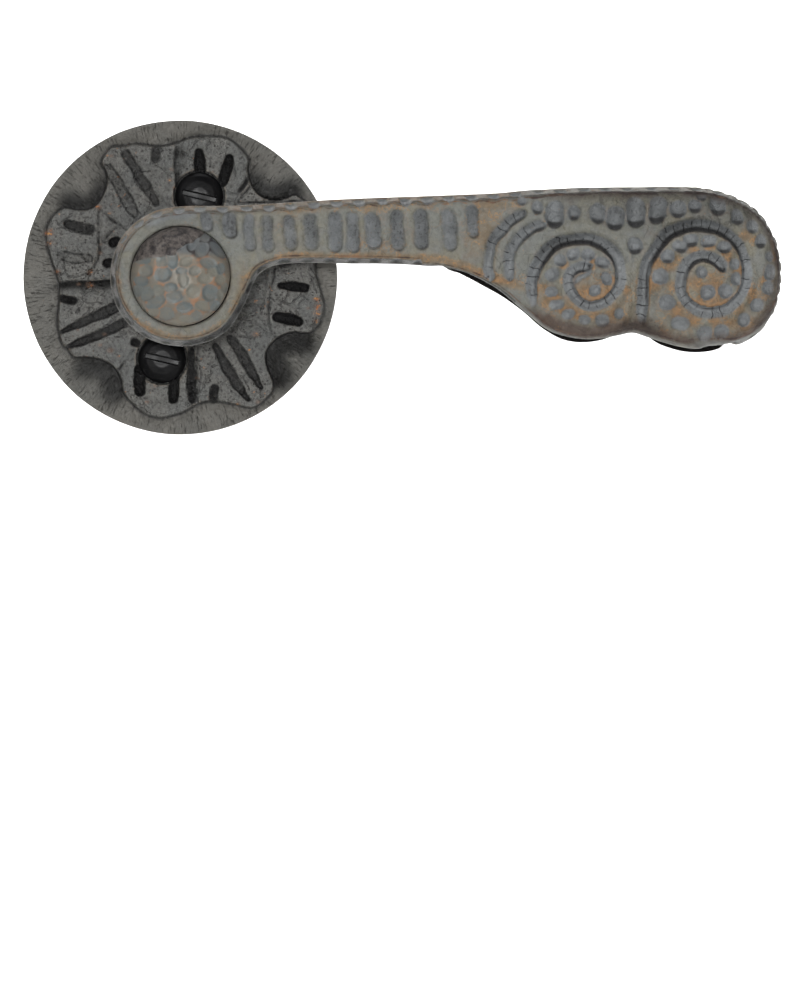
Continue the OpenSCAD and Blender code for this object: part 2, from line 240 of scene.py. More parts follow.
def nets(F, lo, v):
    """Surface nets: one vertex in each cell that the surface crosses."""
    S = F < 0
    c = S[:-1, :-1, :-1].astype(np.int8)
    total = np.zeros_like(c)
    for dx in (0, 1):
        for dz in (0, 1):
            for dh in (0, 1):
                total += S[dx:S.shape[0] - 1 + dx, dz:S.shape[1] - 1 + dz,
                           dh:S.shape[2] - 1 + dh].astype(np.int8)
    act = (total > 0) & (total < 8)
    I, J, K = np.nonzero(act)
    ids = np.full(act.shape, -1, dtype=np.int32)
    ids[I, J, K] = np.arange(len(I))
    pos = np.zeros((len(I), 3), dtype=np.float64)
    cnt = np.zeros(len(I))
    for ax in range(3):
        o = [a for a in range(3) if a != ax]
        for u in (0, 1):
            for w in (0, 1):
                d0 = [0, 0, 0]
                d0[o[0]], d0[o[1]] = u, w
                d1 = list(d0)
                d1[ax] = 1
                a = F[I + d0[0], J + d0[1], K + d0[2]]
                b = F[I + d1[0], J + d1[1], K + d1[2]]
                m = (a < 0) != (b < 0)
                t = a[m] / (a[m] - b[m])
                q = np.zeros((m.sum(), 3))
                q[:] = d0
                q[:, ax] = t
                pos[m] += q
                cnt[m] += 1
    pos = pos / cnt[:, None] + np.stack([I, J, K], 1)
    p = pos * v + lo
    quads = []
    for ax in range(3):
        sl0 = [slice(None)] * 3
        sl1 = [slice(None)] * 3
        sl0[ax], sl1[ax] = slice(0, -1), slice(1, None)
        a, b = S[tuple(sl0)], S[tuple(sl1)]
        i, j, k = np.nonzero(a != b)
        o = [q for q in range(3) if q != ax]
        e = [i, j, k]
        ok = (e[o[0]] > 0) & (e[o[1]] > 0) & (e[o[0]] < F.shape[o[0]] - 1) & (e[o[1]] < F.shape[o[1]] - 1)
        e = [q[ok] for q in e]
        neg = a[tuple(e)]

        def cell(du, dw):
            g = [e[0].copy(), e[1].copy(), e[2].copy()]
            g[o[0]] -= du
            g[o[1]] -= dw
            return ids[g[0], g[1], g[2]]
        q = np.stack([cell(1, 1), cell(0, 1), cell(0, 0), cell(1, 0)], 1)
        # For axis order x, z, h the turn of (o0, o1) about the axis alternates
        flip = neg if ax == 1 else ~neg
        q[flip] = q[flip][:, ::-1]
        quads.append(q)
    quads = np.concatenate(quads)
    quads = quads[(quads >= 0).all(1)]
    return p.astype(np.float32), quads


def build(name, F, lo, v, extra=None, curv=(2, 8)):
    """Mesh object from a distance grid, with masks for its material.

    fin and brd say how convex (+) or concave (-) the surface is, at a fine and
    a broad scale; extra grids are sampled as attributes too."""
    p, quads = nets(F, lo, v)
    me = bpy.data.meshes.new(name)
    # (x, z, h) to the frame swaps two axes and turns one round, which keeps
    # the hand of the quads
    me.from_pydata(put(p).tolist(), [], quads.tolist())
    me.update()
    near = np.clip(F, -3, 3)
    fields = {"fin": blur(near, curv[0]) - near, "brd": blur(near, curv[1]) - near}
    if extra:
        fields.update(extra)
    for k, A in fields.items():
        if A.ndim == 2:
            A = A[:, :, None].repeat(2, axis=2)
            q = p.copy()
            q[:, 2] = lo[2]
            val = trilinear(A, lo, v, q)
        else:
            val = trilinear(A, lo, v, p)
        at = me.attributes.new(k, 'FLOAT', 'POINT')
        at.data.foreach_set("value", np.ascontiguousarray(val, dtype=np.float32))
    me.polygons.foreach_set("use_smooth", [True] * len(me.polygons))
    ob = bpy.data.objects.new(name, me)
    bpy.context.scene.collection.objects.link(ob)
    print(name, len(p), "points", len(quads), "quads")
    return ob


def span(a, b, v):
    return np.arange(a, b + v, v, dtype=np.float32)


def box_cut(f, d):
    """Takes the inside of distance d away from f."""
    np.maximum(f, -d, out=f)
    return f


# ------------------------------------------------------------------ lever arm

MID = 61.4

UNDER_F = [(10.6, -8.3), (12.3, -5.3), (13.5, -2.6), (15.1, 0.4), (18, 2.1), (22, 2.6), (30, 2.5),
           (38, 2.4), (44, 2.3), (50, 1.8), (54, 0.95), (58, -0.75), (61.5, -2.9), (64.7, -5.6),
           (67.0, -7.6), (70, -10.0), (73, -11.3), (77, -12.0), (80.7, -11.9), (84.0, -11.3),
           (86.8, -10.9), (89.4, -11.7), (92.5, -12.7), (96, -13.6), (99.8, -14.0), (103.8, -13.7)]
UNDER_R = [(10.6, -8.3), (12.3, -5.3), (13.5, -2.6), (15.1, 0.4), (18, 2.1), (22, 2.6), (30, 2.5),
           (38, 2.4), (44, 2.2), (50, 1.5), (54.6, -0.1), (58.8, -2.3), (62.7, -4.4), (66.6, -7.1),
           (70.4, -10.4), (74.2, -12.6), (78.4, -13.3), (82.2, -12.9), (86.0, -11.6), (88.8, -11.1),
           (91.0, -12.1), (93.6, -13.7), (97.4, -14.9), (100.6, -15.2), (103.9, -14.8), (106.6, -13.7)]
REST = [(108.6, -12.4), (112.1, -9.8), (114.6, -5.8), (115.5, -1.6), (115.5, 2.5), (114.5, 7.0),
        (111.8, 11.6), (107.9, 14.6), (103.9, 16.2), (100, 17.0), (96, 17.3), (92, 17.4),
        (84, 17.3), (77, 17.2), (69, 16.8), (61.5, 16.2), (54, 15.8), (42, 15.3), (30, 14.9),
        (21, 14.3), (13, 13.8), (6, 13.6), (0, 13.5), (-5.2, 12.5), (-9.6, 9.6), (-12.5, 5.3),
        (-13.5, 0), (-12.5, -5.2), (-9.6, -9.5), (-5.2, -12.5), (0, -13.5), (5, -12.6),
        (8.6, -10.6)]
# Half thickness along the arm, and the domes of the two scrolls: x, z, radius, height
THICK = ([-14, 13, 18, 46, 54, 62, 68, 78, 86, 92, 100, 112, 118],
         [8.1, 8.1, 7.6, 7.6, 8.5, 9.3, 9.9, 11.2, 12.1, 12.5, 13.0, 13.0, 12.6])
LOBES = [(77.3, -1.0, 8.6, 2.7), (99.6, -0.4, 10.4, 3.2)]


def face_at(u, v):
    """x, z on the arm's front face for a pixel of the photograph."""
    h = 70.0
    for _ in range(4):
        x, z = seen_at(u, v, h)
        h = MID + float(np.interp(x, *THICK))
        for cx, cz, r, up in LOBES:
            h += up * max(0.0, 1 - ((x - cx) ** 2 + (z - cz) ** 2) / r ** 2) ** 0.8
    return x, z


def scroll(pts, u0=440, v0=180, k=4):
    return [face_at(u0 + p[0] / k, v0 + p[1] / k) + tuple(p[2:]) for p in pts]


SPIRAL_1 = scroll([(367, 490), (363, 438), (371, 384), (389, 331), (416, 291), (453, 258), (507, 236),
                   (564, 230), (625, 241), (671, 264), (703, 298), (721, 338), (725, 382), (718, 424),
                   (698, 460), (666, 487), (627, 502), (587, 504), (551, 487), (527, 456), (513, 420),
                   (513, 384), (529, 358), (556, 344), (587, 342)])
SPIRAL_2 = scroll([(807, 556), (810, 500), (811, 440), (813, 380), (828, 325), (857, 275), (897, 224),
                   (945, 194), (1000, 182), (1055, 180), (1105, 190), (1150, 214), (1192, 252),
                   (1217, 296), (1228, 340), (1230, 385), (1222, 430), (1205, 468), (1175, 500),
                   (1140, 522), (1095, 532), (1050, 527), (1010, 510), (980, 480), (962, 440),
                   (959, 400), (967, 360), (990, 325), (1025, 305), (1070, 302), (1110, 320),
                   (1130, 342)])
ARCS = [scroll([(195, 385), (187, 330), (196, 280), (215, 235), (245, 195), (280, 160), (320, 132)]),
        scroll([(270, 385), (266, 335), (274, 290), (295, 250), (330, 215), (375, 188), (402, 178)])]
# Dimples: place, width, height
DIMPLES = scroll([
    (482, 318, 52, 46), (536, 296, 50, 42), (593, 298, 55, 46), (653, 329, 62, 42), (451, 376, 56, 46),
    (449, 442, 50, 42), (469, 496, 50, 42), (516, 540, 50, 42), (582, 558, 46, 38), (651, 558, 54, 50),
    (720, 531, 42, 42), (616, 440, 50, 38), (664, 396, 42, 52),
    (912, 305, 56, 50), (955, 265, 56, 46), (1002, 237, 60, 46), (1070, 245, 66, 46), (1137, 270, 60, 46),
    (1177, 335, 46, 46), (1182, 395, 46, 56), (882, 385, 56, 62), (910, 490, 62, 56), (962, 570, 76, 50),
    (1057, 610, 66, 60), (1130, 605, 62, 56), (1217, 555, 52, 56), (1270, 500, 52, 52), (1315, 430, 46, 56),
    (1322, 370, 42, 66), (1317, 310, 38, 42), (1047, 370, 46, 46), (1072, 447, 60, 56), (1142, 445, 56, 56),
    (390, 108, 46, 52), (457, 135, 66, 104), (535, 130, 52, 54), (632, 132, 64, 78), (703, 152, 70, 92),
    (785, 128, 72, 116), (875, 118, 68, 106), (955, 118, 62, 66), (1022, 104, 56, 52), (1112, 100, 58, 76),
    (1188, 142, 50, 66), (1250, 185, 52, 56), (1285, 240, 48, 52), (1048, 66, 44, 34), (780, 262, 60, 60),
    (330, 80, 40, 36)])
# The hooked hollow in the middle of the first scroll
HOOK = scroll([(535, 412), (556, 392), (582, 378), (600, 368)])
# Where the patina has worn to copper: place and size
COPPER = scroll([(470, 720, 60), (410, 765, 50), (530, 770, 60), (645, 775, 60), (830, 800, 55), (580, 590, 55),
                 (700, 625, 60), (790, 575, 40), (832, 495, 26), (640, 345, 40), (205, 570, 50),
                 (400, 365, 40), (960, 590, 45), (230, 690, 50), (330, 640, 40), (520, 800, 60),
                 (390, 500, 30)], 520, 225, 9)
COPPER += scroll([(240, 640, 50), (120, 800, 60), (250, 810, 45), (290, 590, 40), (430, 530, 32), (560, 500, 32),
                  (460, 790, 70), (600, 760, 80), (620, 950, 80), (500, 940, 60), (300, 1010, 60),
                  (430, 1090, 60), (590, 1085, 45), (790, 990, 60), (890, 890, 60), (980, 770, 40),
                  (850, 400, 36), (905, 440, 36), (700, 560, 40), (790, 690, 40), (1085, 560, 40),
                  (1090, 470, 40), (150, 640, 40), (740, 1110, 50), (870, 1150, 60)], 640, 185, 8)
# Long dashes on the face of the neck: place, top and bottom, half width in the photograph
DASHES = [(206, 211, 233, 7.0), (230, 211, 239, 7.8), (249.5, 213, 251, 5.8), (267.5, 213, 253, 6.8),
          (290.5, 213, 251, 7.2), (311, 213, 252, 7.6), (335, 210, 253, 7.8), (352.5, 210, 253, 7.2),
          (372.5, 211, 249, 8.0), (397, 208, 251, 7.8), (420.5, 208, 250, 7.4), (448.5, 208, 252, 8.0),
          (472.5, 203, 238, 6.6)]


def arm():
    v = 0.36
    xs, zs, hs = span(-15.2, 118.4, v), span(-16.6, 19.2, v), span(43.6, 79.4, v)
    lo = np.array([xs[0], zs[0], hs[0]])
    X, Z = np.meshgrid(xs, zs, indexing='ij')
    rs = np.random.RandomState(11)
    front = curve(UNDER_F + REST, closed=True, step=0.6)
    rear = curve(UNDER_R + REST, closed=True, step=0.6)
    dF, s = shape_dist(front, X, Z)
    dR, _ = shape_dist(rear, X, Z)
    r_eye = np.hypot(X, Z)

    # Half thickness, rounding of the edges and domes of the scrolls
    t0 = np.interp(X, *THICK)
    t0 = blur(t0.astype(np.float32), 14)
    rho = np.interp(X, [-14, 46, 62, 92, 108, 118], [1.15, 1.15, 1.7, 3.0, 3.8, 4.2])
    r1 = np.hypot(X - LOBES[0][0], Z - LOBES[0][1])
    r2 = np.hypot(X - LOBES[1][0], Z - LOBES[1][1])
    dome = 0
    for r, (_, _, rad, rise) in zip((r1, r2), LOBES):
        dome = dome + rise * np.clip(1 - (r / rad) ** 2, 0, 1) ** 0.8
    dome = blur(dome.astype(np.float32), 3)
    # A raised welt outside each spiral groove, and a valley between the scrolls
    dome += 0.35 * np.exp(-((r1 - 10.3) / 1.3) ** 2) * (X < 86) + 0.35 * np.exp(-((r2 - 12.9) / 1.4) ** 2) * (X > 92)
    vd, _ = line_dist(curve([(87.0, -7.4), (86.9, -9.6), (86.9, -12.4)]), X, Z)
    dome -= scoop(vd, 2.6, 1.0, 1.2)

    # Cuts in the faces
    def face(seed, sign):
        q = np.random.RandomState(seed)
        cut = np.zeros(X.shape, dtype=np.float32)
        u = np.zeros(X.shape, dtype=np.float32)
        reg = np.full(X.shape, 9.0, dtype=np.float32)

        def add(d, r, depth, along=None, power=0.8):
            nonlocal cut, u, reg
            cut = np.maximum(cut, scoop(d, r, depth * 0.75, power) + scoop(d, r * 1.55, depth * 0.32, 1.3))
            if along is not None:
                m = d < np.minimum(reg, r * 1.5)
                u[m] = along[m]
            reg = np.minimum(reg, d / r)
        wx = X + 0.2 * noise2(xs, zs, 1.9, seed * 7 + 1)
        wz = Z + 0.2 * noise2(xs, zs, 1.9, seed * 7 + 2)
        spd = np.zeros(X.shape, dtype=np.float32)
        for k, P in enumerate([SPIRAL_1, SPIRAL_2]):
            d, a = side_dist(curve(P), wx, wz)
            spd = np.maximum(spd, np.exp(-(np.abs(d) / 1.25) ** 4))
            m = np.abs(d) < 3
            end = smooth(a, 0.0, 2.5) * 0.6 + 0.4
            c = lopsided(d, 1.55, 0.62, 1.22, 1.4 * end) * m
            cut = np.maximum(cut, c)
            near = np.abs(d) < 1.6
            u[near] = a[near] + 40 * k
            reg = np.minimum(reg, np.abs(d) / 1.2)
        for P in ARCS:
            d, a = side_dist(curve(P), wx, wz)
            c = lopsided(d, 1.5, 0.6, 1.25, 0.85) * (np.abs(d) < 3)
            cut = np.maximum(cut, c)
            spd = np.maximum(spd, np.exp(-(np.abs(d) / 1.25) ** 4))
            u[np.abs(d) < 1.7] = a[np.abs(d) < 1.7] + 7
        dash_shade = np.zeros(X.shape, dtype=np.float32)
        dash_rim_shade = np.zeros(X.shape, dtype=np.float32)
        for u0, v0, v1, w in DASHES:
            w = w / 5.2
            x0, z1 = face_at(u0 - 1.0, v0)
            x1, z0 = face_at(u0 + 1.0, v1)
            z1, z0 = z1 - w, z0 + w
            d, _ = line_dist(curve([(x0, z1), ((x0 + x1) / 2 + q.uniform(-0.15, 0.15), (z0 + z1) / 2), (x1, z0)]), wx, wz)
            c = scoop(d, w * (1 + 0.06 * noise2(xs, zs, 1.5, 63)), 0.5 + q.uniform(-0.08, 0.12), 0.42)
            cut = np.maximum(cut, c)
            # Painted shade in each dash, darker towards its top and right, with a painted dark rim along its edge
            dash_shade_grade = 0.78 + 0.3 * np.clip((wz - (z0 + z1) / 2) / (z1 - z0 + 2 * w) * 2, -1, 1) + 0.25 * np.clip((wx - x0) / w, -0.6, 1)
            dash_rim_shade = np.maximum(dash_rim_shade, np.exp(-((d - w + 0.1) / 0.3) ** 2) * np.clip(0.55 + 0.5 * (wx - x0) / w - 0.35 * (wz - (z0 + z1) / 2) / (z1 - z0 + w), 0, 1))
            dash_shade = np.maximum(dash_shade, smooth(w - d, 0.0, 0.35) * q.uniform(0.8, 1.1) * dash_shade_grade)
        d, a = line_dist(curve([(-6.0, 10.0), (-2.4, 11.3), (2.2, 11.5)]), wx, wz)
        add(d, 1.0, 0.35, None)
        d, a = line_dist(curve(HOOK), wx, wz)
        add(d, 0.55, 0.5, None)
        for x, z, wd, ht in DIMPLES:
            rx, rz = wd / 42.2, ht / 42.2
            x, z = x + q.uniform(-0.08, 0.08), z + q.uniform(-0.08, 0.08)
            r = min(rx, rz)
            g = math.radians(q.uniform(-12, 12))
            dx = (wx - x) * math.cos(g) + (wz - z) * math.sin(g)
            dz = -(wx - x) * math.sin(g) + (wz - z) * math.cos(g)
            d = np.hypot(np.maximum(np.abs(dx) - (rx - r), 0), np.maximum(np.abs(dz) - (rz - r), 0))
            # Deepest towards its lower side
            lean = 1 + 0.28 * np.clip((z - wz) / r, -1, 1)
            add(d, r * 1.08, (0.48 + 0.42 * r) * q.uniform(0.85, 1.15) * lean, None, 0.7)
        return cut, u, dash_shade, dash_rim_shade, spd

    cutF, uF, dash_shade, dash_rim_shade, spd = face(3, 1)
    cutR, uR, _, _, _ = face(4, -1)
    # Slow unevenness of a hand-worked pattern, on the faces
    low = 0.10 * noise2(xs, zs, 3.1, 21) + 0.09 * noise2(xs, zs, 6.5, 22) + 0.07 * noise2(xs, zs, 1.5, 25) + 0.03 * noise2(xs, zs, 0.9, 27)
    low = low * (1 + 1.3 * smooth(Z, 8, 13) * smooth(X, 74, 92))
    low = low + 0.17 * noise2(xs, zs, 0.95, 28) * smooth(Z, 7, 11) * smooth(X, 72, 88)
    # Where hands have rubbed it warm: lower edge of the neck, eye, scrolls
    wrm = np.exp(-((Z - np.interp(X, [10, 20, 50, 66, 74], [-1, 3.7, 3.4, -2.5, -8])) / 1.0) ** 2) * smooth(X, 9, 16) * (1 - smooth(X, 60, 76))
    wrm = np.maximum(wrm, 0.6 * np.exp(-((r_eye - 12.0) / 0.8) ** 2) * smooth(-Z, -6, 4))
    wrm = np.maximum(wrm, 0.45 * np.exp(-((Z - np.interp(X, [14, 50], [12.6, 13.6])) / 1.2) ** 2) * smooth(X, 12, 18) * (1 - smooth(X, 62, 72)))
    for i, (x, z, r) in enumerate(COPPER):
        r = r / (9 if i < 17 else 8) / 5.3
        wrm = np.maximum(wrm, 1.15 * np.exp(-(np.hypot(X - x, Z - z) / r) ** 2 * 0.8))
    wrm = np.maximum(wrm, 0.33 * smooth(-Z, -5, 2) * smooth(X, 60, 66))
    wrm = np.maximum(wrm, (0.26 + 0.2 * noise2(xs, zs, 6.5, 57)) * smooth(X, 14, 20) * (1 - smooth(X, 60, 68)))
    wrm = (np.clip(wrm + 0.2 * noise2(xs, zs, 3.2, 51), 0, 1)).astype(np.float32)
    # Brown shade just inside the edge of the scrolls
    mar = (1.42 - 0.42 * smooth(X, 84, 96)) * np.exp(-((-dF - 0.6) / 2.3) ** 2) * smooth(X, 62, 72) * (1 - 0.3 * (Z > 8))
    mar = np.maximum(mar * (0.8 + 0.25 * noise2(xs, zs, 4.0, 52)), 0).astype(np.float32)
    # Painted shade: the upper part of the scrolls, the valley and the top of the eye are darker
    painted_shade = 0.75 * smooth(Z, 4, 12.5) * smooth(X, 62, 88) * (1 - 0.4 * smooth(X, 104, 112))
    vx = np.hypot((X - 87.5) / 5.5, (Z + 10.5) / 2.8)
    painted_shade = np.maximum(painted_shade, np.exp(-vx ** 2))
    painted_shade = np.maximum(painted_shade, 0.5 * smooth(Z, 6, 12) * smooth(-np.abs(X - 2), -9, -4))
    upper = smooth(Z, -0.5, 7.0)
    # Painted shade in the dashes and on the upper turns of the spiral grooves
    neck_and_scroll_shade = np.maximum(dash_shade, 0.75 * spd * upper)
    neck_and_scroll_shade = np.clip(neck_and_scroll_shade * (0.9 + 0.3 * noise2(xs, zs, 1.8, 54)), 0, 1).astype(np.float32)
    painted_shade = np.clip(painted_shade * (0.85 + 0.3 * noise2(xs, zs, 2.6, 53)), 0, 1).astype(np.float32)
    lowR = 0.10 * noise2(xs, zs, 3.1, 31) + 0.09 * noise2(xs, zs, 6.5, 32)
    eye_bevel = 0.5 * smooth(r_eye, 12.2, 13.5) * (X < 9)
    TF = t0 + dome - cutF + low - eye_bevel
    TR = t0 + dome - cutR + lowR - eye_bevel

    H = hs[None, None, :]
    up = smooth(H, MID - 6.5, MID + 3.0)
    d = lerp(dR[:, :, None], dF[:, :, None], up).astype(np.float32)
    # The tip bulges a little between its shoulders
    bulge = np.interp(X, [96, 112], [0, 0.9])[:, :, None] * np.clip(1 - ((H - MID + 0.5) / 12.5) ** 2, -0.6, 1)
    d -= bulge.astype(np.float32)
    # Both halves of the edge slope in from the rib along its middle
    below = smooth(-(Z - np.interp(X, [-14, 12, 20, 60, 116], [-20, 0, 8, 6, -20])), 0, 2) * (X > 12)
    slope = lerp(np.interp(X, [-14, 40, 75, 116], [1.2, 1.3, 0.9, 0.5]), np.interp(X, [40, 52], [1.0, 0.6]), below)
    lip = 1 - 0.95 * below[:, :, None] * smooth(H, MID, MID + 3) * (X > 46)[:, :, None]
    d += (slope[:, :, None] * lip * np.clip((np.abs(H - MID) - 0.4) / 7.6, 0, 1.2)).astype(np.float32)
    # Nicked edge round the tip
    nick = np.clip(np.cos(s * 2 * math.pi / 2.35 + 0.8 * noise2(xs, zs, 4.0, 61)), -0.2, 1) ** 2 * smooth(X, 97, 103) * smooth(Z, -9, -4)
    d += (0.38 * nick[:, :, None] * np.clip(1 - ((H - MID - 4.5) / 7.5) ** 2, 0, 1)).astype(np.float32)
    # Cove along the underside of the scrolls
    uA = line_dist(front, np.array([[49.0]]), np.array([[1.9]]), closed=True)[1][0, 0]
    uB = line_dist(front, np.array([[105.4]]), np.array([[-13.3]]), closed=True)[1][0, 0]
    win = smooth(s, uA - 2, uA + 9) * (1 - smooth(s, uB - 2.0, uB + 3.0))
    hw = np.interp(X, [46, 70, 100], [4.6, 6.0, 7.4])
    depth = np.interp(X, [48, 60, 100], [2.0, 3.6, 4.2])
    hc = MID + np.interp(X, [48, 100], [0.6, 0.4])
    w = (win * depth)[:, :, None] * np.clip(1 - ((H - hc[:, :, None]) / hw[:, :, None]) ** 2, 0, 1) ** 0.55
    d += w.astype(np.float32)
    # Painted black shade in the cove under the scrolls
    behind = np.clip((MID + np.interp(X, [48, 100], [4.0, 6.6])[:, :, None] - H) / 0.8, 0, 1)
    under = (win * smooth(-Z, -3.5, -1.5))[:, :, None]
    cove_and_eye_shade = (under * behind * (0.55 + 0.45 * np.clip(w / 1.2, 0, 1)) * smooth(H, MID - 11, MID - 6))
    cove_and_eye_shade = cove_and_eye_shade.astype(np.float32)

    # Two rows of dashes round the edge
    L = float(np.hypot(*(np.roll(front, -1, axis=0) - front).T).sum())
    n = int(round(L / 4.36))
    pitch = L / n
    near = np.abs(dF) < 4.0
    sc = s[near]
    k = np.floor(sc / pitch).astype(int) % n
    scale = np.interp(X[near], [40, 100], [0, 1])
    cutB = np.zeros((sc.size, hs.size), dtype=np.float32)
    for row in (0, 1):
        jit = rs.uniform(-0.22, 0.22, n + 1)
        wj = 1.22 + rs.uniform(-0.12, 0.14, n + 1)
        lj = rs.uniform(-0.35, 0.35, n + 1)
        dj = 0.55 + rs.uniform(-0.1, 0.12, n + 1)
        if row == 0:
            h0, h1 = 62.45 - 0.2 * scale, 68.85 + 1.6 * scale - 0.6 * smooth(-(Z[near] - 8), -1, 1) * (1 - scale)
        else:
            h0, h1 = 54.3 - 1.9 * scale, 61.0 - 0.7 * scale
        shift = 0.0 if row == 0 else 0.12
        x = sc / pitch - np.floor(sc / pitch) - 0.5
        du = np.abs((x + jit[k] / pitch) * pitch - shift)
        h0 = h0 + lj[k] * 0.5
        h1 = h1 + (lj[(k * 7 + 3) % n] * 0.6)
        hc2, hl = (h0 + h1) / 2, (h1 - h0) / 2 - wj[k]
        # Slight lean, and a narrower waist
        dh = np.maximum(np.abs(hs[None, :] - hc2[:, None]) - hl[:, None], 0)
        dist = np.hypot(np.broadcast_to(du[:, None], dh.shape), dh)
        c = scoop(dist, wj[k][:, None] * 0.92, dj[k][:, None], 0.42)
        cutB = np.maximum(cutB, c.astype(np.float32))
    fade = (1 - win)[near][:, None] * lerp(0.85, 1.0, smooth(X, 3, 12))[near][:, None]
    cutB *= fade
    band = np.zeros(d.shape, dtype=np.float32)
    band[near] = cutB

    wob = 0.11 * noise3(xs, zs, hs, 3.4, 41) + 0.09 * noise3(xs, zs, hs, 7.0, 42)
    a = d + band + wob * 0.8
    T = np.where(H > MID, TF[:, :, None], TR[:, :, None])
    b = (np.abs(H - MID) - T).astype(np.float32)
    R = rho[:, :, None].astype(np.float32)
    a += R
    b += R
    far = smooth(X, 60, 74) * np.maximum(smooth(Z, 1, 6), smooth(X, 102, 108))
    wavy = 0.42 * np.cos((s / 4.36 + 0.15 * noise2(xs, zs, 5.0, 56)) * 2 * math.pi) * smooth(Z, 4, 9) * smooth(X, 2, 10) * (1 - far)
    off = (-0.2 + wavy + far * (0.2 + 0.4 * rho + 0.45 * noise2(xs, zs, 1.9, 55)))[:, :, None]
    edg = np.exp(-((a - b - off) / (0.42 + 0.55 * far[:, :, None])) ** 2).astype(np.float32)
    # The side below the eye and neck is darker towards the front
    facey = (1 - 0.65 * smooth(a - b - off, 0.0, 1.4)).astype(np.float32)
    side = smooth(a - b - off, 0.3, 1.3) * (1 - smooth(band, 0.1, 0.3))
    side = side * ((0.62 - 0.3 * smooth(X, 56, 74)) * smooth(Z + 6 * smooth(-X, -4, 2), 1, 6))[:, :, None]
    side = (side * (1 + 0.5 * noise3(xs, zs, hs, 4.0, 43))).astype(np.float32)
    # Painted shade on the side strip below the eye and neck
    side_strip_shade = smooth(a - b, 0.1, 0.9) * smooth(H, MID - 0.5, MID + 1.5) * (0.95 * smooth(-(Z - 0.1 * X), -9, -5) * (X < 64))[:, :, None]
    # Painted shadow round the lower right of the eye, on its side
    eye_shadow = smooth(a - b, 0.4, 1.1) * smooth(H, MID - 3, MID + 3)
    eye_shadow = 0.35 * eye_shadow * (smooth(-(Z - 0.2 * X), -1, 3) * smooth(X, -3, 3) * (1 - smooth(X, 13, 17)))[:, :, None]
    cove_and_eye_shade = np.maximum(cove_and_eye_shade, eye_shadow).astype(np.float32)
    # Painted shade on the top band, just behind the front edge
    top_band_shade = smooth(a - b - off, 0.1, 0.6) * (1 - smooth(a - b - off, 0.8, 3.6)) * smooth(H, MID + 2, MID + 4) * (0.75 * smooth(Z, 4, 8) * smooth(X, -6, 4))[:, :, None]
    F = np.minimum(np.maximum(a, b), 0) + np.hypot(np.maximum(a, 0), np.maximum(b, 0)) - R
    F = F.astype(np.float32)
    del a, b

    # Socket for the shank, screw hole and seat of the cap
    sq = np.maximum(np.abs(X), np.abs(Z))
    F = np.maximum(F, -np.maximum(sq[:, :, None] - 5.98, H - 60.95).astype(np.float32))
    F = np.maximum(F, -(r_eye[:, :, None] - 3.2 + 0 * H).astype(np.float32))
    seat = 9.58 + np.clip(H - (MID + 8.1 - 0.22), 0, 0.5)
    F = np.maximum(F, -np.maximum(r_eye[:, :, None] - seat, 63.5 - H).astype(np.float32))

    rec = np.where(H > MID, cutF[:, :, None], cutR[:, :, None]) * (np.abs(H - MID) > T - 1.5)
    rec = np.maximum(rec, band).astype(np.float32)
    gF, gR = (np.hypot(*np.gradient(blur(c, 1), v)) for c in (cutF, cutR))
    # Painted shade on the lower wall of each cut, most of all near the top edge, and on the rims of the dashes; the
    # steepness of the walls adds dirt and shade, and the shade spreads wider along the upper turns of the spirals
    lower_wall_shade = np.clip(np.gradient(blur(cutF, 1), v, axis=1), 0, 3)
    gF = 0.6 * gF + lower_wall_shade * (0.35 + (0.9 + 0.7 * smooth(X, 60, 72)) * smooth(Z, -3, 6)) + 1.1 * dash_rim_shade
    gF = np.maximum(gF, 1.5 * blur(blur((gF * spd * upper).astype(np.float32), 1), 1))
    wall_dirt_and_shade = np.where(H > MID, gF[:, :, None], gR[:, :, None]) * (np.abs(H - MID) > T - 1.5)
    gb = np.hypot(np.gradient(band, v, axis=0), np.gradient(band, v, axis=1))
    gb = np.hypot(gb, np.gradient(band, v, axis=2))
    wall_dirt_and_shade = np.maximum(wall_dirt_and_shade, gb * 0.8).astype(np.float32)
    along = np.where(H > MID, uF[:, :, None], uR[:, :, None]).astype(np.float32)
    ob = build("lever_arm_cast", F, lo, v, {"rec": rec, "run": along, "wall_dirt_and_shade": wall_dirt_and_shade,
                "edg": edg, "wrm": np.maximum(wrm[:, :, None] * (facey * 1.5 - 0.5), side).astype(np.float32),
                "painted_shade": np.maximum(painted_shade[:, :, None] * smooth(H, MID + 2, MID + 6) * facey, side_strip_shade).astype(np.float32),
                "mar": (mar[:, :, None] * smooth(H, MID + 2, MID + 6) * facey).astype(np.float32),
                "neck_and_scroll_shade": np.maximum(neck_and_scroll_shade[:, :, None] * smooth(H, MID + 2, MID + 6), np.maximum(0.95 * side_strip_shade, top_band_shade)).astype(np.float32),
                "dep": (cove_and_eye_shade + 0 * F).astype(np.float32)}, (2, 10))
    return ob


# ------------------------------------------------------------------ shank

RINGS = [(7.3, 10.6, 6.6), (9.5, 12.35, 7.2), (13, 12.1, 7.0), (17, 11, 6.5), (22, 9.8, 5.8), (26, 9.0, 5.1),
         (31, 8.5, 4.6), (38, 8.8, 4.4), (42, 9.2, 4.4), (46, 10, 4.6), (50, 10.7, 5), (52, 11.5, 5.5),
         (53.2, 12.0, 6.0)]
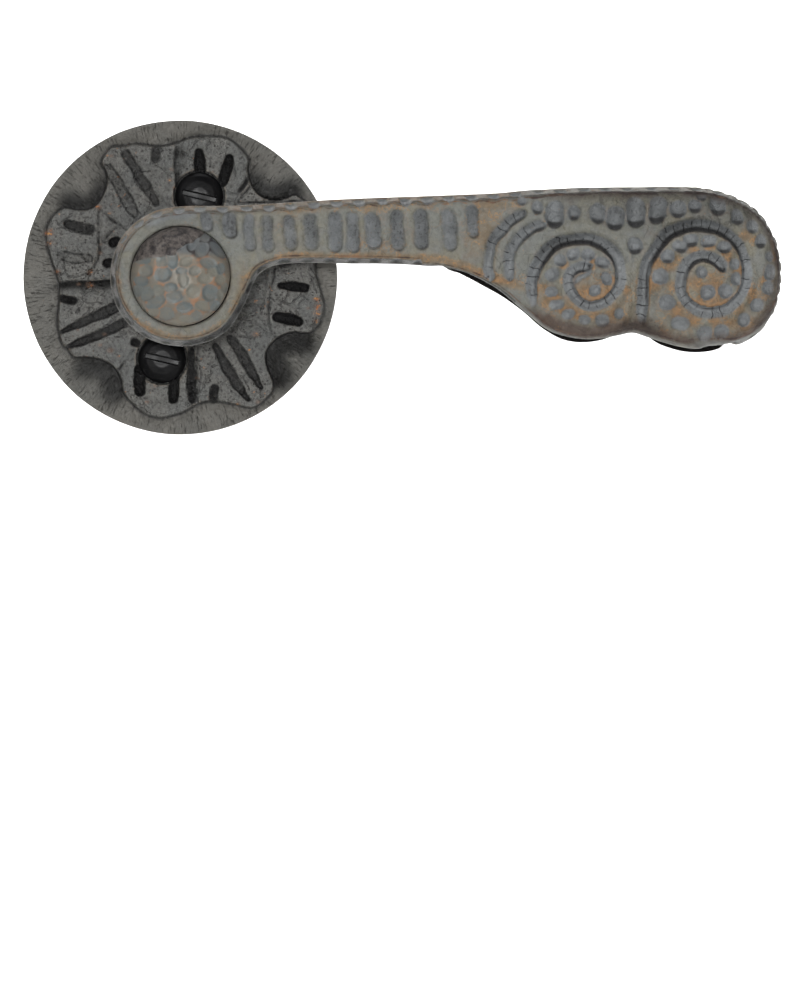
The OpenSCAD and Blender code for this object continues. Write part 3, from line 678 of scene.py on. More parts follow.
# Notches on a facet: height, ends along the facet, depth
NOTCHES = [(46.6, -6.0, 2.8, 0.75), (43.5, -6.0, 4.6, 0.8), (39.3, -6.8, 5.2, 0.8),
           (33.9, -6.6, 3.9, 0.95), (32.0, -6.4, 3.6, 0.3), (28.9, -6.2, 3.8, 0.7),
           (27.1, -7.4, 0.8, 0.6), (23.4, -6.0, 3.2, 0.45), (21.4, -7.9, 4.0, 0.75),
           (16.6, -7.9, 8.2, 1.0)]
PITS = [(40.8, 6.2, 0.8), (35.0, 6.0, 0.9), (32.8, 6.6, 1.2), (29.9, 6.0, 1.0), (27.6, 6.6, 1.2),
        (22.3, 7.2, 1.3), (18.5, 7.4, 0.9), (15.0, 9.2, 1.0)]


def shank():
    v = 0.3
    xs, zs, hs = span(-14.6, 14.6, v), span(-14.6, 14.6, v), span(-8.6, 61.8, v)
    lo = np.array([xs[0], zs[0], hs[0]])
    X, Z, H = np.meshgrid(xs, zs, hs, indexing='ij')
    h = hs
    A = np.interp(h, [r[0] for r in RINGS], [r[1] for r in RINGS])
    Fl = np.interp(h, [r[0] for r in RINGS], [r[2] for r in RINGS])
    # Soften the kinks between the rings
    for _ in range(30):
        A[1:-1] = (A[:-2] + 2 * A[1:-1] + A[2:]) / 4
        Fl[1:-1] = (Fl[:-2] + 2 * Fl[1:-1] + Fl[2:]) / 4
    A, Fl = A[None, None, :], Fl[None, None, :]
    wave = 0.14 * np.sin(h * 1.15) + 0.1 * np.sin(h * 0.61 + 1.0)
    cut = np.zeros(X.shape, dtype=np.float32)
    parts = []
    for f, (P, Q, ph, m) in enumerate([(Z, X, 0.0, 1), (X, -Z, 1.7, 1), (-Z, -X, 0.8, -1), (-X, Z, 2.6, -1)]):
        q = np.random.RandomState(60 + f)
        face = P - A - 0.16 * np.sin(H * 1.2 + ph)
        on = smooth(P, 4.0, 6.5)
        for hn, q0, q1, dep in NOTCHES:
            hn = hn + (q.uniform(-0.8, 0.8) if f else 0)
            lo_q, hi_q = (q0, q1) if m > 0 else (-q1, -q0)
            if f:
                lo_q += q.uniform(-0.8, 0.8)
                hi_q += q.uniform(-0.8, 0.8)
            y = H - hn - 0.25 * np.sin(Q * 0.55 + hn) - 0.04 * Q
            # Sharp lip above, long slope out below
            prof = np.where(y > 0, np.clip(1 - y / 0.55, 0, 1),
                            np.clip(1 + y / 2.6, 0, 1) ** 1.6 * 0.55 + np.clip(1 + y / 0.7, 0, 1) * 0.45)
            side = smooth(Q, lo_q - 0.7, lo_q + 0.7) * (1 - smooth(Q, hi_q - 0.9, hi_q + 0.9))
            c = dep * prof * side * on
            cut = np.maximum(cut, c)
        for hp, qp, rp in PITS:
            hp = hp + (q.uniform(-1.0, 1.0) if f else 0)
            g = np.hypot(H - hp, (Q * m - qp) * 0.9)
            c = scoop(g, rp, 0.85, 0.9) * smooth(P, 2.0, 3.5)
            cut = np.maximum(cut, c * (Q * m > 3))
        # Two slanting cuts on the foot make a V
        vee = P - A + 0.0 * H
        slope = (14.9 - H) - 0.62 * np.abs(Q + 0.6 * m)
        vee = vee + 0.5 * np.clip(slope * 0.45, 0, 1.1)
        parts.append(face)
        parts.append(vee)
    f = parts[0]
    for g in parts[1:]:
        f = np.maximum(f, g)
    C = (A + Fl) / math.sqrt(2)
    bevel = (np.abs(X) + np.abs(Z)) / math.sqrt(2) - C - 0.18 * np.sin(H * 1.7 + X * 0.4)
    k = 0.55
    # Smooth maximum of facets and bevels
    dd = np.clip(0.5 - 0.5 * (f - bevel) / k, 0, 1)
    f = f + (bevel - f) * dd + k * dd * (1 - dd)
    f = f + cut
    R = np.hypot(X, Z)
    # Round chin of the foot: a ball cut by the foot's flat underside
    f = np.maximum(f, (R - 12.6 - (H - 9.2) * 0.95) * 0.72)
    wob = 0.10 * noise3(xs, zs, hs, 2.6, 71) + 0.12 * noise3(xs, zs, hs, 6.0, 72)
    f = f + wob
    f = np.maximum(f, np.maximum(7.72 - H, H - 53.12))
    journal = np.maximum(R - 7.96, np.maximum(-7.6 - H, H - 12))
    foot = np.maximum(R - 10.85, np.maximum(7.72 - H, H - 9.5))
    sq = np.maximum(np.abs(X), np.abs(Z))
    tenon = np.maximum(sq - 5.9, np.maximum(50 - H, H - 60.85))
    f = np.minimum(np.minimum(f, journal), np.minimum(foot, tenon))
    f = box_cut(f, np.maximum(sq - 4.06, H - 29.5))
    f = box_cut(f, np.maximum(R - 3.0, 44.9 - H))
    f = box_cut(f, np.maximum(np.hypot(X, H - 20) - 2.5, Z + 2))
    f = np.maximum(f, np.minimum(np.abs(X) - 6.8, H + 3.85) * 1.0 if False else np.where(H < -3.85, np.abs(X) - 6.8, -9))
    f = np.maximum(f, np.where((H > -6.65) & (H < -5.43), R - 7.4, -9))
    rec = (cut * (H > 9)).astype(np.float32)
    # Darker on the walls of the notches: dirt and painted shade
    g = np.gradient(rec, v)
    wall_dirt_and_shade = np.clip(np.sqrt(g[0] ** 2 + g[1] ** 2 + g[2] ** 2), 0, 3).astype(np.float32) * (H > 8)
    m, w = np.minimum(np.abs(X), np.abs(Z)), np.maximum(np.abs(X), np.abs(Z))
    chm = (smooth(m / (w + 0.01), 0.62, 0.76) * (H > 9)).astype(np.float32)
    return build("shank_cast", f.astype(np.float32), lo, v, {"rec": rec, "wall_dirt_and_shade": wall_dirt_and_shade, "chm": chm}, (2, 10))


# ------------------------------------------------------------------ rose

Z1, Z2, Z3 = (20, 110, 7), (180, 110, 7), (40, 280, 5)
PETALS = from_zoom(*Z1, [(640, 255), (720, 248), (800, 232), (880, 240), (960, 250), (1040, 240), (1120, 215)], 5.6)
PETALS += from_zoom(*Z2, [(60, 192), (150, 180), (240, 180), (330, 192), (400, 238), (450, 290), (487, 345),
                          (480, 410), (490, 475), (520, 545), (565, 592), (620, 616), (690, 622), (750, 606),
                          (800, 586), (850, 612)], 5.6)
PETALS += [(28.2, 13.4), (29.3, 10.4), (29.0, 7.4), (28.2, 5.0), (28.0, 2.6)]
PETALS += from_zoom(*Z3, [(1392, 5), (1414, 75), (1426, 145), (1402, 215), (1350, 268), (1270, 264), (1200, 288),
                          (1152, 330), (1132, 380), (1142, 440), (1170, 510), (1162, 565), (1104, 622),
                          (1050, 643), (950, 620), (865, 608), (800, 620), (720, 663), (650, 684), (590, 694),
                          (520, 670), (462, 622), (412, 562), (402, 502), (370, 442), (302, 402), (230, 390),
                          (172, 390), (142, 358), (106, 320), (90, 260), (84, 190), (92, 110), (92, 40)], 5.6)
PETALS += from_zoom(*Z1, [(268, 1215), (246, 1140), (214, 1050), (190, 960), (176, 880), (190, 800), (222, 744),
                          (280, 692), (330, 677), (392, 692), (470, 690), (530, 660), (570, 602), (602, 520),
                          (598, 440), (566, 372), (590, 310)], 5.6)
SCOOPS = [(47, 28.8), (136, 28.8), (231.6, 28.8), (323.5, 28.8)]
# Slots painted black as shade: line with half widths, depth below the petal's top
SLOTS = [(from_zoom(*Z2, [(135, 300, 0.8), (138, 350, 1.1), (140, 420, 1.1)]), 2.6),
         (from_zoom(*Z2, [(345, 340, 0.8), (330, 410, 1.1), (298, 500, 0.9)]), 2.6),
         (from_zoom(*Z1, [(953, 272, 0.75), (955, 345, 0.8)]), 1.2),
         (from_zoom(*Z1, [(334, 797, 0.75), (408, 822, 1.1), (486, 838, 0.9)]), 1.25),
         (from_zoom(*Z1, [(650, 930, 0.8), (672, 922, 0.8)]), 2.2),
         (from_zoom(*Z1, [(605, 1070, 0.8), (625, 1066, 0.8)]), 2.2),
         (from_zoom(*Z3, [(1205, 28, 0.5), (1270, 32, 0.95), (1328, 40, 0.7)]), 2.4),
         (from_zoom(*Z3, [(1192, 188, 1.0), (1250, 198, 1.15), (1294, 208, 0.85)]), 2.4),
         ([(27.0, 4.2, 0.6), (21.0, 3.2, 0.9)], 0.8),
         (from_zoom(*Z3, [(498, 450, 1.0), (497, 510, 1.05), (502, 560, 0.9)]), 2.6),
         (from_zoom(*Z3, [(672, 490, 0.9), (670, 545, 1.0), (668, 592, 0.85)]), 2.6),
         (from_zoom(*Z3, [(757, 350, 0.55), (757, 440, 0.8), (757, 520, 0.95), (762, 605, 0.6)]), 1.5),
         (from_zoom(*Z3, [(112, 92, 0.7), (165, 103, 0.8)]), 1.7),
         (from_zoom(*Z3, [(871, 542, 0.8), (868, 605, 0.7)]), 1.5),
         (from_zoom(*Z3, [(472, 312, 0.8), (484, 318, 0.8)]), 1.6),
         ([(25.4, 11.6, 0.8), (22.4, 10.4, 0.9)], 2.2)]
# A step beside the screw, and the trough above the lower left petal, each with painted shade on one side
STEPS = [(from_zoom(*Z1, [(1084, 290, 0), (1086, 400, 0), (1088, 525, 0)]), 1.3, 3.2, -1, 0.9),
         (from_zoom(*Z1, [(262, 1216, 0), (420, 1206, 0), (640, 1194, 0)]), 1.7, 3.0, 1, 1.3)]
# Long ribbed grooves: line with half widths, depth, how dark
GROOVES = [(from_zoom(*Z1, [(722, 285, 0.75), (800, 405, 0.85), (880, 535, 0.95), (955, 650, 0.6)]), 1.0, 1.2),
           (from_zoom(*Z1, [(600, 380, 0.7), (680, 500, 1.1), (745, 620, 1.2), (795, 725, 0.8)]), 0.75, 1.05),
           (from_zoom(*Z3, [(105, 262, 0.3), (180, 225, 0.7), (280, 182, 0.9), (375, 138, 1.0)]), 1.5, 1.0),
           (from_zoom(*Z3, [(130, 342, 0.3), (210, 308, 0.7), (310, 268, 0.85), (420, 213, 0.9)]), 1.5, 1.0),
           (from_zoom(*Z3, [(873, 325, 0.5), (925, 420, 0.95), (985, 520, 0.85), (1045, 602, 0.3)]), 1.4, 1.0),
           (from_zoom(*Z3, [(948, 288, 0.7), (1005, 370, 1.0), (1055, 455, 0.9), (1108, 538, 0.4)]), 1.4, 1.0),
           (from_zoom(*Z1, [(290, 1020, 0.9), (370, 1038, 1.0), (480, 1036, 0.8)]), 0.8, 0.6),
           ([(24.2, 14.9, 0.8), (15.6, 9.2, 0.9)], 1.2, 0.6), ([(20.6, 15.4, 0.8), (12.6, 11.6, 0.9)], 1.2, 0.6)]
# Cracks that part the petals, and the fold lines of the side petals: line, half width
CRACKS = [(from_zoom(*Z1, [(545, 688), (640, 765), (735, 830)]), 0.34),
          (from_zoom(*Z1, [(545, 700), (549, 860), (552, 1010), (518, 1092), (470, 1150)]), 0.28),
          (from_zoom(*Z1, [(612, 892), (680, 822), (735, 830)]), 0.3),
          (from_zoom(*Z1, [(268, 1216), (400, 1206), (520, 1206), (640, 1196)]), 0.4),
          (from_zoom(*Z1, [(590, 1226), (600, 1290), (625, 1370)]), 0.26),
          (from_zoom(*Z3, [(470, 352), (428, 400), (390, 448)]), 0.34),
          (from_zoom(*Z3, [(1000, 205), (1085, 222), (1160, 275), (1192, 300)]), 0.36),
          (from_zoom(*Z3, [(1175, -70), (1166, 0), (1150, 80), (1143, 180), (1157, 258), (1192, 300)]), 0.36),
          (from_zoom(*Z3, [(786, 335), (784, 470), (786, 612)]), 0.26),
          (from_zoom(*Z2, [(322, 590), (395, 592), (435, 545), (478, 486)]), 0.5),
          (from_zoom(*Z2, [(404, 642), (438, 595), (480, 545)]), 0.22),
          (from_zoom(*Z2, [(400, 650), (560, 646), (700, 634), (850, 642)]), 0.24),
          (from_zoom(*Z1, [(650, 400), (735, 540), (820, 700)]), 0.24),
          (from_zoom(*Z1, [(835, 400), (900, 500), (965, 610)]), 0.22),
          (from_zoom(*Z1, [(930, 380), (990, 410), (1060, 470)]), 0.14),
          (from_zoom(*Z1, [(410, 900), (380, 960), (300, 1000)]), 0.14),
          (from_zoom(*Z1, [(200, 1060), (240, 1110), (255, 1180)]), 0.16)]
# Dabs of bright metal on the joints: place and size
DABS = from_zoom(*Z1, [(550, 680, 26), (630, 722, 16), (560, 1000, 18), (566, 940, 12), (490, 1135, 24),
                       (490, 1227, 30), (410, 1220, 16), (1062, 415, 16), (1050, 490, 20), (1076, 545, 14),
                       (212, 838, 18), (800, 545, 9), (250, 935, 9), (680, 600, 9), (640, 320, 16)])
DABS += from_zoom(*Z2, [(958, 1325, 26), (966, 1375, 28), (962, 1425, 26), (952, 1475, 22)])
DABS += from_zoom(*Z1, [(200, 860, 34), (205, 930, 26), (262, 1130, 24)])
DABS += [(x, z, r * 1.4) for x, z, r in from_zoom(*Z3, [
    (1386, 165, 22), (1340, 140, 10), (1080, 272, 20), (352, 352, 18), (322, 272, 12), (300, 325, 12),
    (245, 22, 18), (190, 250, 9), (785, 490, 10), (820, 440, 9), (575, 530, 10), (1045, 350, 9),
    (860, 272, 10), (535, 610, 12), (1140, 110, 9), (395, 380, 10), (1090, 610, 14), (990, 620, 12)])]


def with_widths(pts):
    """Smooth line, and the half width as a function of the length along it."""
    path = curve([p[:2] for p in pts], step=0.4)
    xy = np.array([p[:2] for p in pts])
    s = np.concatenate([[0], np.cumsum(np.hypot(*np.diff(xy, axis=0).T))])
    total = np.hypot(*np.diff(path, axis=0).T).sum()
    return path, s * total / s[-1], [p[2] for p in pts]


def rose():
    v = 0.3
    xs, zs, hs = span(-33.3, 33.3, v), span(-33.3, 33.3, v), span(-0.75, 8.7, v)
    lo = np.array([xs[0], zs[0], hs[0]])
    X, Z = np.meshgrid(xs, zs, indexing='ij')
    R = np.hypot(X, Z)
    q = np.random.RandomState(5)
    petal = curve(PETALS, closed=True, step=0.5)
    dP, _ = shape_dist(petal, X, Z)
    top = 7.3 - np.clip(R - 13.5, 0, 20) / 14.5 * 1.65
    dish = 3.35 + 0.85 * np.clip((R - 25) / 7.5, 0, 1) ** 2.2
    dish = dish - 0.35 * np.exp(-(np.clip(dP, 0, 9) / 1.1) ** 2)
    # Slow waves of the petals, each a little tilted
    n_low = 0.16 * noise2(xs, zs, 4.2, 81) + 0.16 * noise2(xs, zs, 9.0, 82)
    n_low = n_low + 0.11 * noise2(xs, zs, 2.1, 104) + 0.06 * noise2(xs, zs, 1.1, 105)
    top = top + n_low * smooth(R, 12, 15)
    ang = np.degrees(np.arctan2(Z, X)) % 360
    for a0, amp in [(167, -0.35), (347, -0.35), (77, 0.15), (257, 0.15), (122, 0.25), (212, 0.2), (302, 0.25), (32, 0.2)]:
        da = (ang - a0 + 180) % 360 - 180
        top = top + amp * np.exp(-(da / 17) ** 2) * smooth(R, 13, 16)
    # Inner zone of the side petals lies lower than their outer pads
    for a0 in (167, 347):
        da = (ang - a0 + 180) % 360 - 180
        zone = (1 - smooth(np.abs(da), 20, 28)) * smooth(R, 12.5, 13.5) * (1 - smooth(R, 17.3, 18.3))
        top = top - 0.7 * zone
    top = top - 0.75 * (1 - np.clip(-dP / 1.3, 0, 1)) ** 2
    cut = np.zeros(X.shape, dtype=np.float32)
    run = np.zeros(X.shape, dtype=np.float32)
    cut_shade = np.zeros(X.shape, dtype=np.float32)
    wx = X + 0.14 * noise2(xs, zs, 1.2, 97)
    wz = Z + 0.14 * noise2(xs, zs, 1.2, 98)
    for pts, dep in SLOTS:
        path, sw, ww = with_widths(pts)
        d, s = line_dist(path, wx, wz)
        w = np.interp(s, sw, ww)
        c = scoop(d, w + 0.12, dep, 0.5)
        rib = 0.3 * np.clip(np.cos((s + 0.4 * noise2(xs, zs, 1.5, 93)) * 2 * math.pi / 1.25), 0, 1) ** 2 * (c > 0.3)
        c = np.maximum(c - rib, 0)
        cut = np.maximum(cut, np.maximum(c, scoop(d, w + 0.7, 0.3, 1.3)))
        # Painted shade in the slot and along its edge
        ring = np.exp(-((d - w) / 0.26) ** 2) * np.clip(0.9 + 0.4 * noise2(xs, zs, 1.3, 106), 0, 1)
        cut_shade = np.maximum(cut_shade, np.maximum(c * min(dep / 2.2, 1), ring))
    rec = cut.copy()
    for pts, dep, dark in GROOVES:
        path, sw, ww = with_widths(pts)
        d, s = line_dist(path, wx, wz)
        w = np.interp(s, sw, ww)
        c = scoop(d, w + 0.1, dep, 0.55)
        sj = s + 0.9 * noise2(xs, zs, 2.2, 95)
        rib = 0.3 * np.clip(np.cos(sj * 2 * math.pi / 1.6), 0, 1) ** 3 * (c > 0.2)
        c = np.maximum(c - rib, 0)
        cut = np.maximum(cut, np.maximum(c, scoop(d, w + 0.6, 0.2, 1.3)))
        rec = np.maximum(rec, c * dark)
        # Painted shade along each side of the groove
        side = 1.3 * np.exp(-((d - w) / 0.27) ** 2) * (s > 0.1) * np.clip(0.95 + 0.4 * noise2(xs, zs, 1.6, 100), 0, 1)
        # Thin dark ribs across it
        bar = np.exp(-((((sj / 0.8) % 1) - 0.5) / 0.14) ** 2) * (d < w) * np.clip(0.5 + 1.2 * noise2(xs, zs, 1.4, 102), 0, 1)
        side = np.maximum(side, 0.6 * bar)
        cut_shade = np.maximum(cut_shade, np.maximum(np.clip(c - 0.7, 0, 1) * 0.75, 0.85 * side))
    trough_shade = np.zeros(X.shape, dtype=np.float32)
    for P, dep, wide, sign, hard in STEPS:
        d, s = side_dist(curve([t[:2] for t in P]), wx, wz)
        d = d * sign
        far = line_dist(curve([t[:2] for t in P]), wx, wz)[0]
        t = np.where(d >= 0, np.clip(1 - far / wide, 0, 1) ** 1.3, np.clip(1 + d / 0.3, 0, 1)) * (far < wide)
        cut = np.maximum(cut, dep * t)
        trough_shade = np.maximum(trough_shade, np.clip(t * hard, 0, 1))
    step = np.zeros(X.shape, dtype=np.float32)
    for k, (P, w) in enumerate(CRACKS):
        d, s = side_dist(curve(P), wx, wz)
        c = scoop(d, w + 0.06, 0.45 + w, 0.6) * np.clip(0.75 + 0.7 * noise2(xs, zs, 2.4, 101), 0.15, 1)
        cut = np.maximum(cut, c)
        # Painted shade in the crack
        cut_shade = np.maximum(cut_shade, c * 1.1)
        # One lip of a crack stands higher than the other
        step += (0.2 if k % 2 else -0.2) * np.sign(d) * np.exp(-(np.abs(d) / 1.3) ** 2) * (w > 0.2)
    top = top + step
    # Small breaks across the inner zones
    for a0 in (150, 158, 176, 184, 336, 342, 352, 20, 62, 96, 240, 276):
        a = math.radians(a0 + q.uniform(-3, 3))
        r0 = q.uniform(13.5, 15)
        r1 = r0 + q.uniform(2, 4.5)
        d, s = line_dist(np.array([(r0 * math.cos(a), r0 * math.sin(a)),
                                   (r1 * math.cos(a + 0.12), r1 * math.sin(a + 0.12))]), X, Z)
        cut = np.maximum(cut, scoop(d, 0.4, 0.45, 0.7))
    wall = smooth(-dP, -0.15, 0.4)
    Ht = lerp(dish, top - cut, wall)
    # Hollows between the petals
    sc = np.zeros(X.shape, dtype=np.float32)
    for (a0, rc), shade, wide in zip(SCOOPS, (1.1, 0.98, 1.5, 1.6), (5.6, 5.2, 6.8, 6.8)):
        cx, cz = rc * math.cos(math.radians(a0)), rc * math.sin(math.radians(a0))
        g = np.hypot(X - cx, Z - cz) - 0.12 * noise2(xs, zs, 2.0, 87)
        soft = np.exp(-(g / 6.6) ** 6) * (1 - smooth(R, 28.2, 31.6))
        into = np.clip(1 - np.clip(dP, 0, 9) / 5.0, 0, 1) ** 1.25
        low = dish - 1.4 * into * soft
        Ht = np.where((dP > 0) | (g < 5.1), np.minimum(low, np.where(dP > 0, low, Ht)), Ht)
        tint = np.clip(1 - np.clip(dP, 0, 9) / wide, 0, 1) * np.exp(-(g / 6.6) ** 4)
        # Painted shade in each hollow, darkest next to the petal wall and under the petal below
        under = 1 + (0.7 * np.clip((cz - Z) / 5, -0.5, 1) if a0 < 180 else 0.0)
        sc = np.maximum(sc, shade * tint * under * ((dP > -0.3) | (g < 5.1)))
    # Short radial creases in the hollows and on the dish
    for a0, rc in SCOOPS:
        cx, cz = rc * math.cos(math.radians(a0)), rc * math.sin(math.radians(a0))
        th = np.arctan2(Z - cz, X - cx)
        crease = np.clip(np.cos(th * 38 + 2.5 * noise2(xs, zs, 5.0, 99)), 0, 1) ** 3
        zone = np.exp(-((dP - 0.9) / 1.3) ** 2) * (np.hypot(X - cx, Z - cz) < 7) * (0.5 + 0.5 * noise2(xs, zs, 2.0, 96))
        Ht = Ht - 0.16 * crease * np.clip(zone, 0, 1)
    # Painted shade of the step and the trough
    sc = np.maximum(sc, trough_shade * (0.85 + 0.3 * noise2(xs, zs, 1.1, 103)))
    Ht = Ht + (0.14 * noise2(xs, zs, 1.5, 83) + 0.15 * noise2(xs, zs, 0.8, 84)) * (dP < 0.2)
    dab = np.zeros(X.shape, dtype=np.float32)
    for x, z, r in DABS:
        r = r / 7 / 4.85
        dab = np.maximum(dab, np.exp(-(np.hypot(X - x, (Z - z) * 1.4) / r) ** 2))
    Ht = np.where(R < 26, np.maximum(Ht, 2.2), Ht)
    for a0 in (167, 347):
        g = np.hypot(X - 19 * math.cos(math.radians(a0)), Z - 19 * math.sin(math.radians(a0)))
        Ht = np.where(g < 2.2, np.maximum(Ht, 5.45), Ht)
    # Counterbores of the fixing screws, with a thin worn edge
    for a0 in (77, 257):
        cx, cz = 17.25 * math.cos(math.radians(a0)), 17.25 * math.sin(math.radians(a0))
        g = np.hypot(X - cx, Z - cz)
        Ht = np.where(g < 5.3, np.minimum(Ht, 4.58), Ht)
        Ht = np.where((g >= 5.3) & (g < 5.75), Ht + 0.15, Ht)
    Ht = np.minimum(Ht, 7.62 + 0 * X)
    Ht = Ht.astype(np.float32)
    gx, gz = np.gradient(Ht, v)
    steep = np.sqrt(1 + np.clip(gx ** 2 + gz ** 2, 0, 9))
    H = hs[None, None, :]
    F = (H - Ht[:, :, None]) / steep[:, :, None]
    edge = (R - 32.5 + 0.05 * noise2(xs, zs, 5.0, 86))[:, :, None]
    a, b = edge + 0.35, F + 0.35
    F = np.minimum(np.maximum(a, b), 0) + np.hypot(np.maximum(a, 0), np.maximum(b, 0)) - 0.35
    a, b = edge + 0.4, -H + 0.4
    back = np.minimum(np.maximum(a, b), 0) + np.hypot(np.maximum(a, 0), np.maximum(b, 0)) - 0.4
    F = np.maximum(F, back)
    R3 = R[:, :, None]
    F = np.maximum(F, -np.maximum(R3 - 9.6, -9 + 0 * H))
    F = np.maximum(F, -np.maximum(R3 - 11.0, 6.08 - H))
    F = np.maximum(F, -np.maximum(R3 - 13.3, H - 3.6))
    F = np.maximum(F, -np.maximum(R3 - 25.2, H - 1.62))
    for a0 in (77, 257):
        cx, cz = 17.25 * math.cos(math.radians(a0)), 17.25 * math.sin(math.radians(a0))
        F = np.maximum(F, -(np.hypot(X - cx, Z - cz)[:, :, None] - 2.75 + 0 * H))
    for a0 in (167, 347):
        cx, cz = 19 * math.cos(math.radians(a0)), 19 * math.sin(math.radians(a0))
        F = np.maximum(F, -np.maximum(np.hypot(X - cx, Z - cz)[:, :, None] - 1.5, H - 5.1))
    F = F.astype(np.float32)
    front = (H > 1.9)
    ob = build("rose_cast", F, lo, v, {
        "rec": (np.clip(np.maximum(rec, np.clip(cut - 0.9, 0, 9) * 0.2), 0, 2)[:, :, None] * front).astype(np.float32),
        "cut_shade": (np.clip(cut_shade / 1.6, 0, 1)[:, :, None] * front).astype(np.float32),
        "pet": (smooth(-dP, -0.6, 0.6)[:, :, None] * front).astype(np.float32),
        "rim": (np.exp(-(dP / 0.65) ** 2)[:, :, None] * front).astype(np.float32),
        "dab": (dab[:, :, None] * front).astype(np.float32),
        "bowl_shade": (sc[:, :, None] * front).astype(np.float32)}, (2, 9))
    return ob


# ------------------------------------------------------------------ domed cap

# Hammer blows on the dome: place, half sizes in a 12 times view, turn
BLOWS = [seen_at(130 + x / 12, 222 + y / 12, 73.0) + (a, b, t) for x, y, a, b, t in [
    (705, 130, 75, 75, 0), (765, 240, 62, 110, -20), (900, 190, 62, 66, 0), (1040, 325, 52, 135, 42),
    (865, 335, 75, 105, -30), (585, 250, 50, 75, 0), (480, 240, 52, 62, 0), (150, 450, 115, 62, 0),
    (390, 480, 75, 100, 0), (400, 620, 90, 90, 0), (510, 460, 62, 95, 0), (665, 480, 85, 52, 20),
    (930, 490, 100, 62, -20), (185, 590, 85, 72, 0), (130, 705, 92, 62, 0), (775, 590, 72, 62, 30),
    (900, 680, 92, 62, 10), (640, 690, 60, 105, 5), (1085, 700, 65, 65, 0), (760, 835, 82, 82, 0),
    (520, 900, 105, 72, 0), (210, 870, 82, 72, 30), (320, 960, 115, 62, 32), (965, 845, 82, 100, 0),
    (1078, 872, 36, 60, 0), (650, 1025, 105, 62, 0), (895, 1010, 125, 62, -20), (430, 1100, 112, 82, 0),
    (800, 1125, 72, 52, 0), (100, 820, 62, 70, 0), (690, 1160, 92, 42, 0), (300, 1080, 82, 52, -20),
    (480, 790, 82, 52, 0), (1085, 560, 52, 70, 0), (980, 600, 60, 52, 0), (620, 590, 62, 40, 0),
    (350, 820, 70, 62, 0), (240, 300, 80, 70, 0), (330, 190, 80, 70, 0), (470, 120, 80, 60, 0),
    (380, 320, 80, 60, 0), (1000, 1000, 70, 60, 0), (1130, 780, 40, 60, 0)]]

